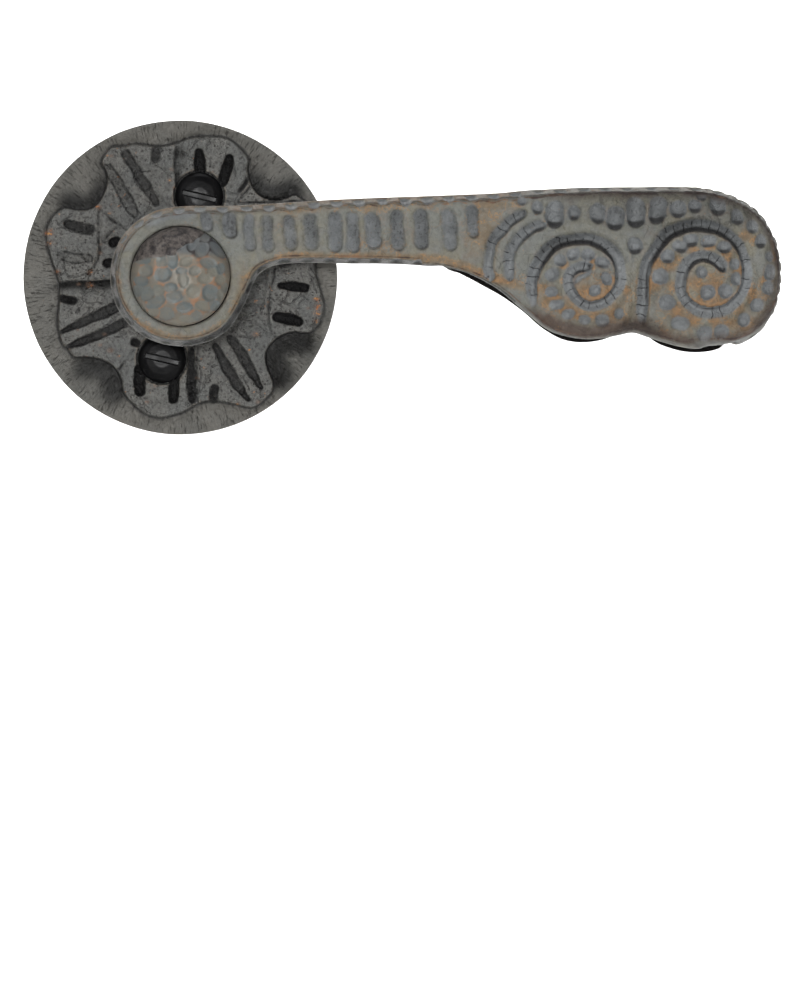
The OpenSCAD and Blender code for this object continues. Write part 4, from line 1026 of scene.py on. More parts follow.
def cap():
    v = 0.19
    xs, zs, hs = span(-10.1, 10.1, v), span(-10.1, 10.1, v), span(64.2, 75.6, v)
    lo = np.array([xs[0], zs[0], hs[0]])
    X, Z = np.meshgrid(xs, zs, indexing='ij')
    q = np.random.RandomState(19)
    hgt = np.full(X.shape, -9.0, dtype=np.float32)
    second = np.full(X.shape, -9.0, dtype=np.float32)
    tone = np.zeros(X.shape, dtype=np.float32)
    shade = np.zeros(X.shape, dtype=np.float32)
    for x, z, wx, wz, turn in BLOWS:
        an = math.radians(turn)
        ca, sa = math.cos(an), math.sin(an)
        dx, dz = X - x, Z - z
        g2 = ((dx * ca + dz * sa) / (wx / 59)) ** 2 + ((-dx * sa + dz * ca) / (wz / 59)) ** 2
        # Each blow leaves a shallow hollow: keep the lowest of them
        tilt = 0.035 * (q.uniform(-1, 1) * dx + q.uniform(-1, 1) * dz)
        val = 0.3 - 0.3 * g2 + q.uniform(-0.06, 0.06) + tilt
        # Painted shade at the lower side of each blow
        foot = np.exp(-((g2 - 0.85) / 0.16) ** 2) * smooth(-(dz - 0.2 * dx), 0.15, 0.6) * (q.uniform(0, 1) < 0.75)
        m = val > hgt
        second = np.where(m, hgt, np.maximum(second, val))
        tone = np.where(m, q.uniform(0, 1), tone)
        shade = np.where(m, foot, shade)
        hgt = np.where(m, val, hgt)
    ridge = np.exp(-((hgt - second) / 0.12) ** 2)
    ridge = np.maximum(ridge, np.exp(-((hgt + 0.01) / (0.07 + 0.04 * smooth(Z, 2.4, 6.0))) ** 2))
    ground = smooth(-hgt, -0.02, 0.05)
    hollow = 1.5 * np.clip(hgt, -0.03, 0.17)
    R = np.hypot(X, Z)
    grain = smooth(Z - np.interp(X, [-9, -2, 1, 5, 9], [2.6, 3.6, 6.2, 8.0, 9.0]) + 0.55 * noise2(xs, zs, 1.0, 26) + 0.5 * noise2(xs, zs, 2.1, 29), -0.25, 0.3)
    dusk = smooth(Z, 2.4, 6.0)
    hollow = hollow * (1 + 0.8 * dusk)
    hollow = hollow * (1 - 0.6 * grain) + grain * 0.2 * noise2(xs, zs, 0.8, 23)
    hollow = blur(hollow.astype(np.float32), 1)
    sph = 59.55 + np.sqrt(np.clip(15.3 ** 2 - R ** 2, 1, None)) - hollow + 0.12
    H = hs[None, None, :]
    b = (H - sph[:, :, None]) * 0.85
    a = (R[:, :, None] - 9.46) + 0.08 * noise2(xs, zs, 2.2, 24)[:, :, None]
    k = 1.5
    a, b = a + k, b + k
    F = np.minimum(np.maximum(a, b), 0) + np.hypot(np.maximum(a, 0), np.maximum(b, 0)) - k
    F = np.maximum(F, 64.62 - H)
    F = np.maximum(F, -np.maximum(R[:, :, None] - 5.8, H - 68.5))
    rdg = blur((ridge * (1 - grain)).astype(np.float32), 1)[:, :, None] + 0 * H
    return build("domed_cap_cast", F.astype(np.float32), lo, v,
                 {"rdg": rdg.astype(np.float32), "grn": (grain[:, :, None] + 0 * H).astype(np.float32),
                  "gnd": (blur((ground * (1 - grain)).astype(np.float32), 1)[:, :, None] + 0 * H).astype(np.float32),
                  "blow_shade": (blur((shade * (1 - grain)).astype(np.float32), 1)[:, :, None] + 0 * H).astype(np.float32),
                  "ton": (blur(tone, 1)[:, :, None] + 0 * H).astype(np.float32),
                  "dsk": (dusk[:, :, None] + 0 * H).astype(np.float32),
                  "rim_gap_shade": (smooth(R, 9.0, 9.35)[:, :, None] * (H < 70.0)).astype(np.float32)}, (2, 6))


# ------------------------------------------------------------------ screws

def screws():
    """Both fixing screws: slotted heads from a field, shanks with real thread."""
    v = 0.13
    parts = []
    for a0 in (77, 257):
        cx, cz = 17.25 * math.cos(math.radians(a0)), 17.25 * math.sin(math.radians(a0))
        xs, zs, hs = span(-5.3, 5.3, v), span(-5.3, 5.3, v), span(4.3, 7.6, v)
        X, Z, H = np.meshgrid(xs, zs, hs, indexing='ij')
        R = np.hypot(X, Z)
        prof = np.interp(R, [0, 1.8, 3.2, 4.15, 4.7, 5.02], [7.3, 7.24, 7.0, 6.62, 6.15, 5.5])
        b = (H - prof) * 0.85
        a = R - 4.98
        f = np.minimum(np.maximum(a, b), 0) + np.hypot(np.maximum(a, 0), np.maximum(b, 0))
        f = np.maximum(f, 4.64 - H)
        th = math.radians(-13)
        U = X * math.cos(th) + Z * math.sin(th)
        W = -X * math.sin(th) + Z * math.cos(th)
        slot = np.maximum(np.abs(W) - 0.52, 6.1 - H)
        slot = np.maximum(slot, np.abs(U) - 3.6)
        f = np.maximum(f, -slot)
        p, quads = nets(f.astype(np.float32), np.array([xs[0], zs[0], hs[0]]), v)
        p = p + np.array([cx, cz, 0])
        parts.append((p, quads))
        # Shank and thread as rings round the axis
        n = 28
        hh = np.concatenate([np.arange(4.9, -0.5, -0.45), np.arange(-0.5, -40.4, -0.1)])
        th = np.arange(n) / n * 2 * math.pi
        Hh, Th = np.meshgrid(hh, th, indexing='ij')
        ph = (Hh / 0.8 + Th / (2 * math.pi)) % 1
        tri = np.abs(ph - 0.5) * 2
        r = np.where(Hh > -0.55, 2.2, 2.02 + 0.46 * np.clip(tri * 1.25 - 0.1, 0, 1))
        r = np.minimum(r, np.interp(-Hh, [-9, 39.2, 40.5], [9, 9, 1.55]))
        p = np.stack([cx + r * np.cos(Th), cz + r * np.sin(Th), Hh], 2).reshape(-1, 3)
        m = len(hh)
        i, j = np.meshgrid(np.arange(m - 1), np.arange(n), indexing='ij')
        k = (j + 1) % n
        quads = np.stack([i * n + j, i * n + k, (i + 1) * n + k, (i + 1) * n + j], 2).reshape(-1, 4)
        parts.append((p, quads, n, m))
    verts, faces, off = [], [], 0
    for part in parts:
        p, quads = part[:2]
        verts.append(p)
        faces += (quads + off).tolist()
        if len(part) > 2:
            n, m = part[2:]
            faces.append([off + j for j in range(n)][::-1])
            faces.append([off + (m - 1) * n + j for j in range(n)])
        off += len(p)
    p = np.concatenate(verts).astype(np.float32)
    me = bpy.data.meshes.new("fixing_screws_slotted")
    me.from_pydata(put(p).tolist(), [], faces)
    me.validate()
    me.update()
    me.polygons.foreach_set("use_smooth", [True] * len(me.polygons))
    ob = bpy.data.objects.new("fixing_screws_slotted", me)
    bpy.context.scene.collection.objects.link(ob)
    return ob


# ------------------------------------------------------------------ materials

def srgb(r, g, b):
    out = []
    for c in (r, g, b):
        c = c / 255
        out.append(c / 12.92 if c <= 0.04045 else ((c + 0.055) / 1.055) ** 2.4)
    return (*out, 1.0)


class Nodes:
    """Short names for the nodes that the materials below are made of."""

    def __init__(self, name):
        self.mat = bpy.data.materials.new(name)
        self.mat.use_nodes = True
        self.t = self.mat.node_tree
        self.t.nodes.clear()
        self.out = self.t.nodes.new("ShaderNodeOutputMaterial")
        self.bsdf = self.t.nodes.new("ShaderNodeBsdfPrincipled")
        self.t.links.new(self.bsdf.outputs[0], self.out.inputs[0])
        self.co = self.t.nodes.new("ShaderNodeTexCoord").outputs["Object"]

    def link(self, a, b):
        self.t.links.new(a, b)

    def set(self, node, socket, val):
        s = node.inputs[socket]
        if hasattr(val, "is_linked") or isinstance(val, bpy.types.NodeSocket):
            self.link(val, s)
        else:
            s.default_value = val

    def noise(self, scale, detail=3.0, rough=0.55, co=None, dist=0.0):
        n = self.t.nodes.new("ShaderNodeTexNoise")
        self.set(n, "Vector", co or self.co)
        n.inputs["Scale"].default_value = scale
        n.inputs["Detail"].default_value = detail
        n.inputs["Roughness"].default_value = rough
        n.inputs["Distortion"].default_value = dist
        return n.outputs[0]

    def voronoi(self, scale, feature='F1', co=None, rand=1.0):
        n = self.t.nodes.new("ShaderNodeTexVoronoi")
        n.feature = feature
        self.set(n, "Vector", co or self.co)
        n.inputs["Scale"].default_value = scale
        n.inputs["Randomness"].default_value = rand
        return n.outputs["Distance"]

    def attr(self, name):
        n = self.t.nodes.new("ShaderNodeAttribute")
        n.attribute_type = 'GEOMETRY'
        n.attribute_name = name
        return n.outputs["Fac"]

    def math(self, op, a, b=0.0, c=0.0, clamp=False):
        n = self.t.nodes.new("ShaderNodeMath")
        n.operation = op
        n.use_clamp = clamp
        self.set(n, 0, a)
        self.set(n, 1, b)
        self.set(n, 2, c)
        return n.outputs[0]

    def ramp(self, val, a, b, lo=0.0, hi=1.0):
        """Smooth step of val from a to b."""
        n = self.t.nodes.new("ShaderNodeMapRange")
        n.interpolation_type = 'SMOOTHSTEP'
        self.set(n, "Value", val)
        n.inputs["From Min"].default_value = a
        n.inputs["From Max"].default_value = b
        n.inputs["To Min"].default_value = lo
        n.inputs["To Max"].default_value = hi
        return n.outputs["Result"]

    def mix(self, fac, a, b, blend='MIX'):
        n = self.t.nodes.new("ShaderNodeMix")
        n.data_type = 'RGBA'
        n.blend_type = blend
        self.set(n, 0, fac)
        self.set(n, 6, a)
        self.set(n, 7, b)
        return n.outputs[2]

    def scale_co(self, sx, sy, sz):
        n = self.t.nodes.new("ShaderNodeMapping")
        n.inputs["Scale"].default_value = (sx, sy, sz)
        self.link(self.co, n.inputs["Vector"])
        return n.outputs[0]

    def polar(self, around, along):
        """Coordinates made of the angle round the spindle axis and the radius."""
        sep = self.t.nodes.new("ShaderNodeSeparateXYZ")
        self.link(self.co, sep.inputs[0])
        x, y, z = sep.outputs
        th = self.math('ARCTAN2', z, x)
        r = self.math('SQRT', self.math('ADD', self.math('MULTIPLY', x, x), self.math('MULTIPLY', z, z)))
        com = self.t.nodes.new("ShaderNodeCombineXYZ")
        # The cosine and sine close the pattern where the angle wraps
        self.link(self.math('MULTIPLY', self.math('COSINE', th), around), com.inputs[0])
        self.link(self.math('MULTIPLY', self.math('SINE', th), around), com.inputs[1])
        self.link(self.math('MULTIPLY', r, along), com.inputs[2])
        return com.outputs[0], r

    def bump(self, height, strength, distance, normal=None):
        n = self.t.nodes.new("ShaderNodeBump")
        n.inputs["Strength"].default_value = strength
        n.inputs["Distance"].default_value = distance
        self.link(height, n.inputs["Height"])
        if normal is not None:
            self.link(normal, n.inputs["Normal"])
        return n.outputs[0]

    def finish(self, color, rough, normal, metal=0.0, spec=0.5, coat=0.0, coat_rough=0.3):
        b = self.bsdf
        self.link(color, b.inputs["Base Color"])
        self.link(rough, b.inputs["Roughness"])
        self.link(normal, b.inputs["Normal"])
        b.inputs["Metallic"].default_value = metal
        b.inputs["Specular IOR Level"].default_value = spec
        b.inputs["Coat Weight"].default_value = coat
        b.inputs["Coat Roughness"].default_value = coat_rough
        return self.mat


def patina(name, base, base2, slate, copper, dark, copper_at=(0.06, 0.2), rec_hi=0.5,
           metal=0.1, rough=(0.5, 0.7), grain=0.5, face=True, copper_amt=0.7, dark_at=(0.1, 0.36)):
    """Dark aged bronze: worn to copper on ridges, slate in the cuts."""
    n = Nodes(name)
    big = n.noise(95, 3, 0.6)
    mid = n.noise(420, 4, 0.6)
    grit = n.noise(1000, 4, 0.65)
    fine = n.noise(2300, 3, 0.6)
    rec = n.attr("rec")
    fin = n.attr("fin")
    brd = n.attr("brd")
    c = n.mix(n.ramp(big, 0.38, 0.62), base, base2)
    c = n.mix(n.ramp(mid, 0.35, 0.7, 0.0, 0.5), c, slate)
    if face:
        # Warm worn areas, and copper in the middle of them
        wm = n.math('ADD', n.attr("wrm"), n.math('MULTIPLY', n.math('SUBTRACT', mid, 0.5), 1.1))
        bare = n.ramp(rec, 0.5, 0.2)
        c = n.mix(n.math('MULTIPLY', n.ramp(wm, 0.1, 0.7, 0.0, 0.85), bare), c, srgb(108, 94, 75))
        gold = n.mix(n.ramp(grit, 0.4, 0.6), srgb(106, 88, 68), srgb(124, 95, 66))
        c = n.mix(n.math('MULTIPLY', n.ramp(wm, 0.6, 1.2, 0.0, 0.75), bare), c, gold)
    r = n.math('ADD', rec, n.math('MULTIPLY', n.math('SUBTRACT', mid, 0.5), 0.3))
    c = n.mix(n.ramp(r, 0.1, rec_hi, 0.0, 0.9), c, slate)
    if face:
        # Thin gold veins through the worn areas
        vn = n.math('ABSOLUTE', n.math('SUBTRACT', n.noise(330, 4, 0.6, dist=0.4), 0.5))
        vein = n.math('MULTIPLY', n.ramp(vn, 0.022, 0.004), n.ramp(n.math('ADD', n.attr("wrm"), n.math('MULTIPLY', big, 0.7)), 0.42, 0.8))
        c = n.mix(n.math('MULTIPLY', n.math('MULTIPLY', vein, bare), 0.52), c, srgb(146, 109, 70))
    w = n.math('ADD', fin, n.math('MULTIPLY', n.math('SUBTRACT', mid, 0.5), 0.2))
    w = n.math('ADD', w, n.math('MULTIPLY', n.math('SUBTRACT', n.noise(210, 2, 0.5), 0.5), 0.3))
    worn = n.ramp(w, copper_at[0], copper_at[1], 0.0, copper_amt)
    if face:
        worn = n.math('MULTIPLY', worn, n.ramp(n.attr("wrm"), 0.1, 0.7, 0.22, 1.0))
    c = n.mix(worn, c, copper)
    if face:
        mr = n.math('ADD', n.attr("mar"), n.math('MULTIPLY', n.math('SUBTRACT', mid, 0.5), 0.8))
        c = n.mix(n.ramp(mr, 0.15, 0.9, 0.0, 0.9), c, srgb(70, 58, 51))
        eg = n.math('ADD', n.attr("edg"), n.math('MULTIPLY', n.math('SUBTRACT', mid, 0.5), 0.9))
        c = n.mix(n.ramp(eg, 0.5, 0.95, 0.0, 0.88), c, n.mix(n.ramp(big, 0.5, 0.66), srgb(56, 44, 41), srgb(118, 86, 64)))
    specks = n.ramp(n.noise(1300, 2, 0.5), 0.66, 0.76, 0.0, 0.4)
    c = n.mix(n.math('MULTIPLY', specks, n.ramp(big, 0.45, 0.6)), c, copper)
    # Darker in corners and hollows
    hollow = n.math('MULTIPLY', fin, -1.0)
    h = n.math('ADD', hollow, n.math('MULTIPLY', n.math('SUBTRACT', grit, 0.5), 0.2))
    dirt_and_shade = n.ramp(h, dark_at[0], dark_at[1], 0.0, 0.8)
    h2 = n.ramp(n.math('MULTIPLY', brd, -1.0), 0.3, 1.2, 0.0, 0.3 if face else 0.5)
    dirt_and_shade = n.math('MAXIMUM', dirt_and_shade, h2)
    if not face:
        # Black lines in the notches, worn brown patches between them
        c = n.mix(n.math('MULTIPLY', n.ramp(n.noise(70, 3, 0.55), 0.45, 0.65, 0.0, 0.75), n.ramp(mid, 0.35, 0.6)), c, srgb(112, 92, 72))
        cm = n.math('ADD', n.attr("chm"), n.math('MULTIPLY', n.math('SUBTRACT', big, 0.5), 0.8))
        c = n.mix(n.ramp(cm, 0.3, 0.8, 0.0, 0.75), c, srgb(98, 93, 95))
        dirt_and_shade = n.math('MAXIMUM', dirt_and_shade, n.ramp(n.math('ADD', rec, n.math('MULTIPLY', n.math('SUBTRACT', mid, 0.5), 0.5)), 0.35, 0.8, 0.0, 0.95))
    # Painted shade and dirt on the walls of the cuts
    wall = n.math('ADD', n.attr("wall_dirt_and_shade"), n.math('MULTIPLY', n.math('SUBTRACT', mid, 0.5), 1.2))
    dirt_and_shade = n.math('MAXIMUM', dirt_and_shade, n.ramp(wall, 0.7, 2.0, 0.0, 0.8))
    c = n.mix(dirt_and_shade, c, dark)
    bumpy = n.math('ADD', n.math('MULTIPLY', fine, 0.4), n.math('MULTIPLY', mid, 0.8))
    bumpy = n.math('ADD', bumpy, n.math('MULTIPLY', grit, 0.9))
    if face:
        run = n.attr("run")
        k = n.math('ADD', run, n.math('MULTIPLY', n.noise(300, 2), 1.8))
        f = n.math('ABSOLUTE', n.math('SUBTRACT', n.math('FRACT', n.math('DIVIDE', k, 1.7)), 0.5))
        line = n.ramp(f, 0.06, 0.0, 0.0, 1.0)
        line = n.math('MULTIPLY', line, n.math('MULTIPLY', n.ramp(rec, 0.15, 0.45), n.ramp(run, 0.3, 0.9)))
        line = n.math('MULTIPLY', line, n.ramp(n.noise(420, 2), 0.42, 0.55))
        c = n.mix(n.math('MULTIPLY', line, 0.75), c, dark)
        bumpy = n.math('SUBTRACT', bumpy, n.math('MULTIPLY', line, 1.2))
    # Fine crazing of the old patina
    vd = n.voronoi(330, 'DISTANCE_TO_EDGE')
    craze = n.math('MULTIPLY', n.ramp(vd, 0.05, 0.0), n.ramp(n.noise(150, 3), 0.5, 0.62))
    c = n.mix(n.math('MULTIPLY', craze, 0.12), c, dark)
    bumpy = n.math('SUBTRACT', bumpy, n.math('MULTIPLY', craze, 0.2))
    tone = n.ramp(grit, 0.3, 0.7, 0.86, 1.12)
    if face:
        # Painted shade on the upper scrolls, the valley, the dashes, the spiral turns and the side strips darkens the
        # tone
        tone = n.math('MULTIPLY', tone, n.ramp(n.attr("painted_shade"), 0.0, 1.0, 1.0, 0.62))
        tone = n.math('MULTIPLY', tone, n.ramp(n.attr("neck_and_scroll_shade"), 0.0, 1.0, 1.0, 0.52))
        pep = n.math('MULTIPLY', n.ramp(n.noise(1500, 3, 0.6), 0.52, 0.62), n.ramp(n.attr("neck_and_scroll_shade"), 0.3, 0.8))
        c = n.mix(n.math('MULTIPLY', pep, 0.4), c, dark)
        # Dark specks where the painted shade lies
        sp = n.math('MULTIPLY', n.ramp(grit, 0.5, 0.62), n.ramp(n.attr("painted_shade"), 0.2, 0.6))
        c = n.mix(n.math('MULTIPLY', sp, 0.45), c, dark)
    com = n.t.nodes.new("ShaderNodeCombineColor")
    for i in range(3):
        n.link(tone, com.inputs[i])
    c = n.mix(1.0, c, com.outputs[0], 'MULTIPLY')
    if face:
        # Painted black shade in the cove under the scrolls and round the lower right of the eye
        c = n.mix(n.ramp(n.attr("dep"), 0.1, 0.45, 0.0, 0.98), c, srgb(10, 9, 9))
    rg = n.math('ADD', n.ramp(mid, 0.3, 0.7, rough[0], rough[1]), n.math('MULTIPLY', worn, -0.08))
    nm = n.bump(bumpy, grain, 0.0004)
    out = n.finish(c, rg, nm, metal=metal, spec=0.3)
    if face:
        # Where the black shade is painted, the surface has almost no sheen
        n.link(n.ramp(n.attr("dep"), 0.1, 0.4, 0.3, 0.02), n.bsdf.inputs["Specular IOR Level"])
        n.link(n.ramp(n.attr("dep"), 0.1, 0.4, metal, 0.0), n.bsdf.inputs["Metallic"])
    return out


def rose_material(name):
    n = Nodes(name)
    big = n.noise(110, 3, 0.6)
    mid = n.noise(520, 4, 0.65)
    fine = n.noise(2100, 3, 0.6)
    rec, cut_shade, pet, rim, bowl_shade = (n.attr(k) for k in ("rec", "cut_shade", "pet", "rim", "bowl_shade"))
    fin = n.attr("fin")
    brd = n.attr("brd")
    dish = n.mix(n.ramp(big, 0.35, 0.65), srgb(88, 87, 83), srgb(97, 95, 90))
    cast = n.mix(n.ramp(big, 0.35, 0.65), srgb(104, 105, 103), srgb(113, 112, 108))
    cast = n.mix(n.ramp(mid, 0.42, 0.7, 0.0, 0.42), cast, srgb(74, 74, 73))
    grit = n.noise(1500, 3, 0.7)
    cast = n.mix(n.ramp(grit, 0.5, 0.66, 0.0, 0.62), cast, srgb(60, 59, 57))
    cast = n.mix(n.ramp(grit, 0.46, 0.32, 0.0, 0.4), cast, srgb(124, 125, 122))
    c = n.mix(pet, dish, cast)
    # Light scratches across the dish, from the middle outwards
    pol, r = n.polar(10.0, 55.0)
    scr = n.noise(9.0, 4, 0.65, co=pol)
    lines = n.math('MULTIPLY', n.ramp(scr, 0.42, 0.34), n.math('SUBTRACT', 1.0, pet))
    c = n.mix(n.math('MULTIPLY', lines, 0.32), c, srgb(56, 55, 52))
    lines2 = n.math('MULTIPLY', n.ramp(scr, 0.56, 0.66), n.math('SUBTRACT', 1.0, pet))
    c = n.mix(n.math('MULTIPLY', lines2, 0.22), c, srgb(120, 117, 110))
    rag = n.math('ABSOLUTE', n.math('SUBTRACT', n.noise(170, 4, 0.65, dist=0.6), 0.5))
    rag = n.math('MULTIPLY', n.ramp(rag, 0.012, 0.0), n.ramp(n.noise(120, 2), 0.52, 0.62))
    c = n.mix(n.math('MULTIPLY', rag, 0.45), c, srgb(40, 39, 37))
    # Fine breaks across the petals
    wv = n.t.nodes.new("ShaderNodeVectorMath")
    wv.operation = 'ADD'
    sc2 = n.t.nodes.new("ShaderNodeVectorMath")
    sc2.operation = 'SCALE'
    nz = n.t.nodes.new("ShaderNodeTexNoise")
    n.link(n.co, nz.inputs["Vector"])
    nz.inputs["Scale"].default_value = 260
    nz.inputs["Detail"].default_value = 3
    n.link(nz.outputs["Color"], sc2.inputs[0])
    sc2.inputs["Scale"].default_value = 0.0035
    n.link(n.co, wv.inputs[0])
    n.link(sc2.outputs[0], wv.inputs[1])
    brk = n.ramp(n.voronoi(260, 'DISTANCE_TO_EDGE', co=wv.outputs[0]), 0.05, 0.015)
    brk = n.math('MULTIPLY', n.math('MULTIPLY', brk, pet), n.ramp(n.noise(190, 3, 0.6), 0.5, 0.58))
    c = n.mix(n.math('MULTIPLY', brk, 0.3), c, srgb(38, 37, 36))
    # Pits of the sand casting, on the petals
    v = n.voronoi(1300)
    pits = n.math('MULTIPLY', n.ramp(v, 0.3, 0.14), n.ramp(n.noise(230, 2), 0.46, 0.6))
    pits = n.math('MULTIPLY', pits, pet)
    c = n.mix(n.math('MULTIPLY', pits, 0.42), c, srgb(44, 42, 40))
    worn = n.ramp(n.math('ADD', fin, n.math('MULTIPLY', n.math('SUBTRACT', mid, 0.5), 0.22)), 0.08, 0.2, 0.0, 0.4)
    c = n.mix(worn, c, srgb(128, 118, 106))
    specks = n.math('MULTIPLY', n.ramp(n.noise(900, 2, 0.5), 0.66, 0.74), n.ramp(n.noise(130, 2), 0.48, 0.62))
    c = n.mix(n.math('MULTIPLY', n.math('MULTIPLY', specks, pet), 0.65), c, srgb(176, 122, 78))
    # Darker in hollows and creases; painted shade in the cuts, slots, grooves and cracks, in the hollows between the
    # petals and along the petal edges
    hollow = n.ramp(n.math('MULTIPLY', fin, -1.0), 0.06, 0.3, 0.0, 0.9)
    hollow = n.math('MAXIMUM', hollow, n.ramp(n.math('MULTIPLY', brd, -1.0), 0.15, 1.0, 0.0, 0.7))
    c = n.mix(hollow, c, srgb(34, 34, 33))
    rr = n.math('ADD', rec, n.math('MULTIPLY', n.math('SUBTRACT', grit, 0.5), 0.7))
    c = n.mix(n.ramp(rr, 0.25, 1.1, 0.0, 0.75), c, srgb(42, 42, 42))
    c = n.mix(n.ramp(cut_shade, 0.1, 0.7, 0.0, 0.97), c, srgb(17, 17, 17))
    c = n.mix(n.ramp(bowl_shade, 0.05, 0.95, 0.0, 0.95), c, srgb(21, 21, 20))
    edge = n.math('ADD', rim, n.math('MULTIPLY', n.math('SUBTRACT', mid, 0.5), 0.5))
    c = n.mix(n.ramp(edge, 0.5, 1.0, 0.0, 0.7), c, srgb(34, 34, 33))
    c = n.mix(n.ramp(n.attr("dab"), 0.05, 0.7, 0.0, 0.45), c, srgb(116, 94, 80))
    dab = n.math('ADD', n.attr("dab"), n.math('MULTIPLY', n.math('SUBTRACT', n.noise(1250, 4, 0.75), 0.5), 3.4))
    c = n.mix(n.ramp(dab, 0.75, 1.05, 0.0, 0.75), c, n.mix(n.ramp(mid, 0.4, 0.6), srgb(196, 140, 74), srgb(176, 108, 66)))
    rg = n.ramp(mid, 0.3, 0.7, 0.45, 0.68)
    b = n.math('ADD', n.math('MULTIPLY', fine, 0.35), n.math('MULTIPLY', mid, 0.8))
    b = n.math('SUBTRACT', b, n.math('MULTIPLY', n.math('MULTIPLY', grit, pet), 1.3))
    b = n.math('SUBTRACT', b, n.math('MULTIPLY', pits, 1.1))
    b = n.math('SUBTRACT', b, n.math('MULTIPLY', lines, 0.35))
    b = n.math('SUBTRACT', b, n.math('MULTIPLY', brk, 1.0))
    nm = n.bump(b, 0.95, 0.0007)
    return n.finish(c, rg, nm, metal=0.15, spec=0.4)


def cap_material(name):
    n = Nodes(name)
    big = n.noise(120, 3, 0.6)
    mid = n.noise(480, 4, 0.6)
    fine = n.noise(2200, 3, 0.6)
    rdg, grn, ton, dsk, fin = (n.attr(k) for k in ("rdg", "grn", "ton", "dsk", "fin"))
    c = n.mix(n.ramp(ton, 0.1, 0.9), srgb(103, 102, 94), srgb(88, 94, 94))
    c = n.mix(n.ramp(mid, 0.35, 0.7, 0.0, 0.4), c, srgb(112, 102, 88))
    gnd = n.math('ADD', n.attr("gnd"), n.math('MULTIPLY', n.math('SUBTRACT', mid, 0.5), 0.8))
    c = n.mix(n.math('MULTIPLY', n.ramp(gnd, 0.2, 0.9, 0.0, 0.6), n.ramp(dsk, 0.9, 0.3)), c, srgb(108, 99, 86))
    w = n.math('ADD', n.math('MULTIPLY', rdg, 0.8), n.math('MULTIPLY', fin, 2.0))
    w = n.math('ADD', w, n.math('MULTIPLY', n.math('SUBTRACT', mid, 0.5), 1.3))
    worn = n.math('MULTIPLY', n.ramp(w, 0.4, 0.85, 0.0, 0.7), n.ramp(dsk, 0.9, 0.3))
    c = n.mix(worn, c, srgb(136, 98, 72))
    # Painted shade at the lower side of each blow
    low = n.math('MULTIPLY', n.attr("blow_shade"), n.ramp(mid, 0.38, 0.55))
    c = n.mix(n.math('MULTIPLY', low, 0.85), c, srgb(58, 56, 56))
    c = n.mix(n.ramp(dsk, 0.1, 0.9, 0.0, 0.65), c, srgb(80, 84, 88))
    up = n.mix(n.ramp(n.noise(900, 4, 0.65), 0.36, 0.64), srgb(44, 41, 41), srgb(88, 82, 78))
    c = n.mix(n.ramp(grn, 0.2, 0.7), c, up)
    # Darker in hollows, with painted shade in the gap round the rim of the cap
    dirt_and_shade = n.ramp(n.math('MULTIPLY', fin, -1.0), 0.05, 0.2, 0.0, 0.7)
    dirt_and_shade = n.math('MAXIMUM', dirt_and_shade, n.math('MULTIPLY', n.attr("rim_gap_shade"), 0.85))
    c = n.mix(dirt_and_shade, c, srgb(46, 44, 43))
    line = n.math('MULTIPLY', n.ramp(rdg, 0.4, 0.8), n.ramp(dsk, 0.2, 0.6))
    c = n.mix(n.math('MULTIPLY', line, 0.9), c, srgb(42, 39, 40))
    rg = n.ramp(mid, 0.3, 0.7, 0.42, 0.62)
    b = n.math('ADD', n.math('MULTIPLY', fine, 0.4), n.math('MULTIPLY', mid, 0.5))
    b = n.math('ADD', b, n.math('MULTIPLY', n.noise(1300, 4, 0.7), n.math('MULTIPLY', grn, 1.6)))
    nm = n.bump(b, 0.4, 0.0004)
    return n.finish(c, rg, nm, metal=0.1, spec=0.3)


def plain_metal(name, a, b, dark, metal, rough, scale=300, brushed=None, grain=0.15, spec=0.5):
    """Small hidden fittings: plated, turned or drawn metal with light wear."""
    n = Nodes(name)
    co = n.scale_co(*brushed) if brushed else None
    big = n.noise(scale * 0.3, 3, 0.6)
    mid = n.noise(scale, 4, 0.6, co=co)
    fine = n.noise(scale * 5, 3, 0.6, co=co)
    c = n.mix(n.ramp(big, 0.35, 0.65), a, b)
    c = n.mix(n.ramp(mid, 0.5, 0.72, 0.0, 0.55), c, dark)
    c = n.mix(n.ramp(n.noise(scale * 2.4, 2), 0.62, 0.74, 0.0, 0.5), c, dark)
    rg = n.ramp(mid, 0.3, 0.7, rough[0], rough[1])
    nm = n.bump(n.math('ADD', n.math('MULTIPLY', mid, 0.5), fine), grain, 0.0002)
    return n.finish(c, rg, nm, metal=metal, spec=spec)


# ------------------------------------------------------------------ pieces

M_ARM = patina("patina_arm", srgb(105, 102, 90), srgb(100, 101, 95), srgb(107, 110, 112),
               srgb(132, 102, 72), srgb(32, 30, 30), grain=0.8)
M_SHANK = patina("patina_shank", srgb(104, 100, 84), srgb(98, 98, 92), srgb(94, 95, 96),
                 srgb(136, 102, 74), srgb(20, 19, 19), face=False, grain=0.8, rec_hi=2.0, copper_amt=0.4)
M_ROSE = rose_material("patina_rose")
M_CAP = cap_material("patina_cap")
M_BLACK = plain_metal("black_oxide", srgb(14, 14, 15), srgb(10, 10, 11), srgb(20, 19, 19), 0.0, (0.3, 0.42), 420, grain=0.15, spec=0.1)
M_ZINC = plain_metal("zinc_plate", srgb(134, 136, 139), srgb(119, 123, 128), srgb(98, 100, 98), 0.9, (0.3, 0.5), 260)
M_STEEL = plain_metal("bright_steel", srgb(150, 152, 156), srgb(136, 138, 142), srgb(96, 94, 92), 0.95, (0.28, 0.46), 500)
M_SPRING = plain_metal("spring_steel", srgb(98, 98, 102), srgb(82, 82, 88), srgb(60, 52, 46), 0.9, (0.25, 0.42), 600)
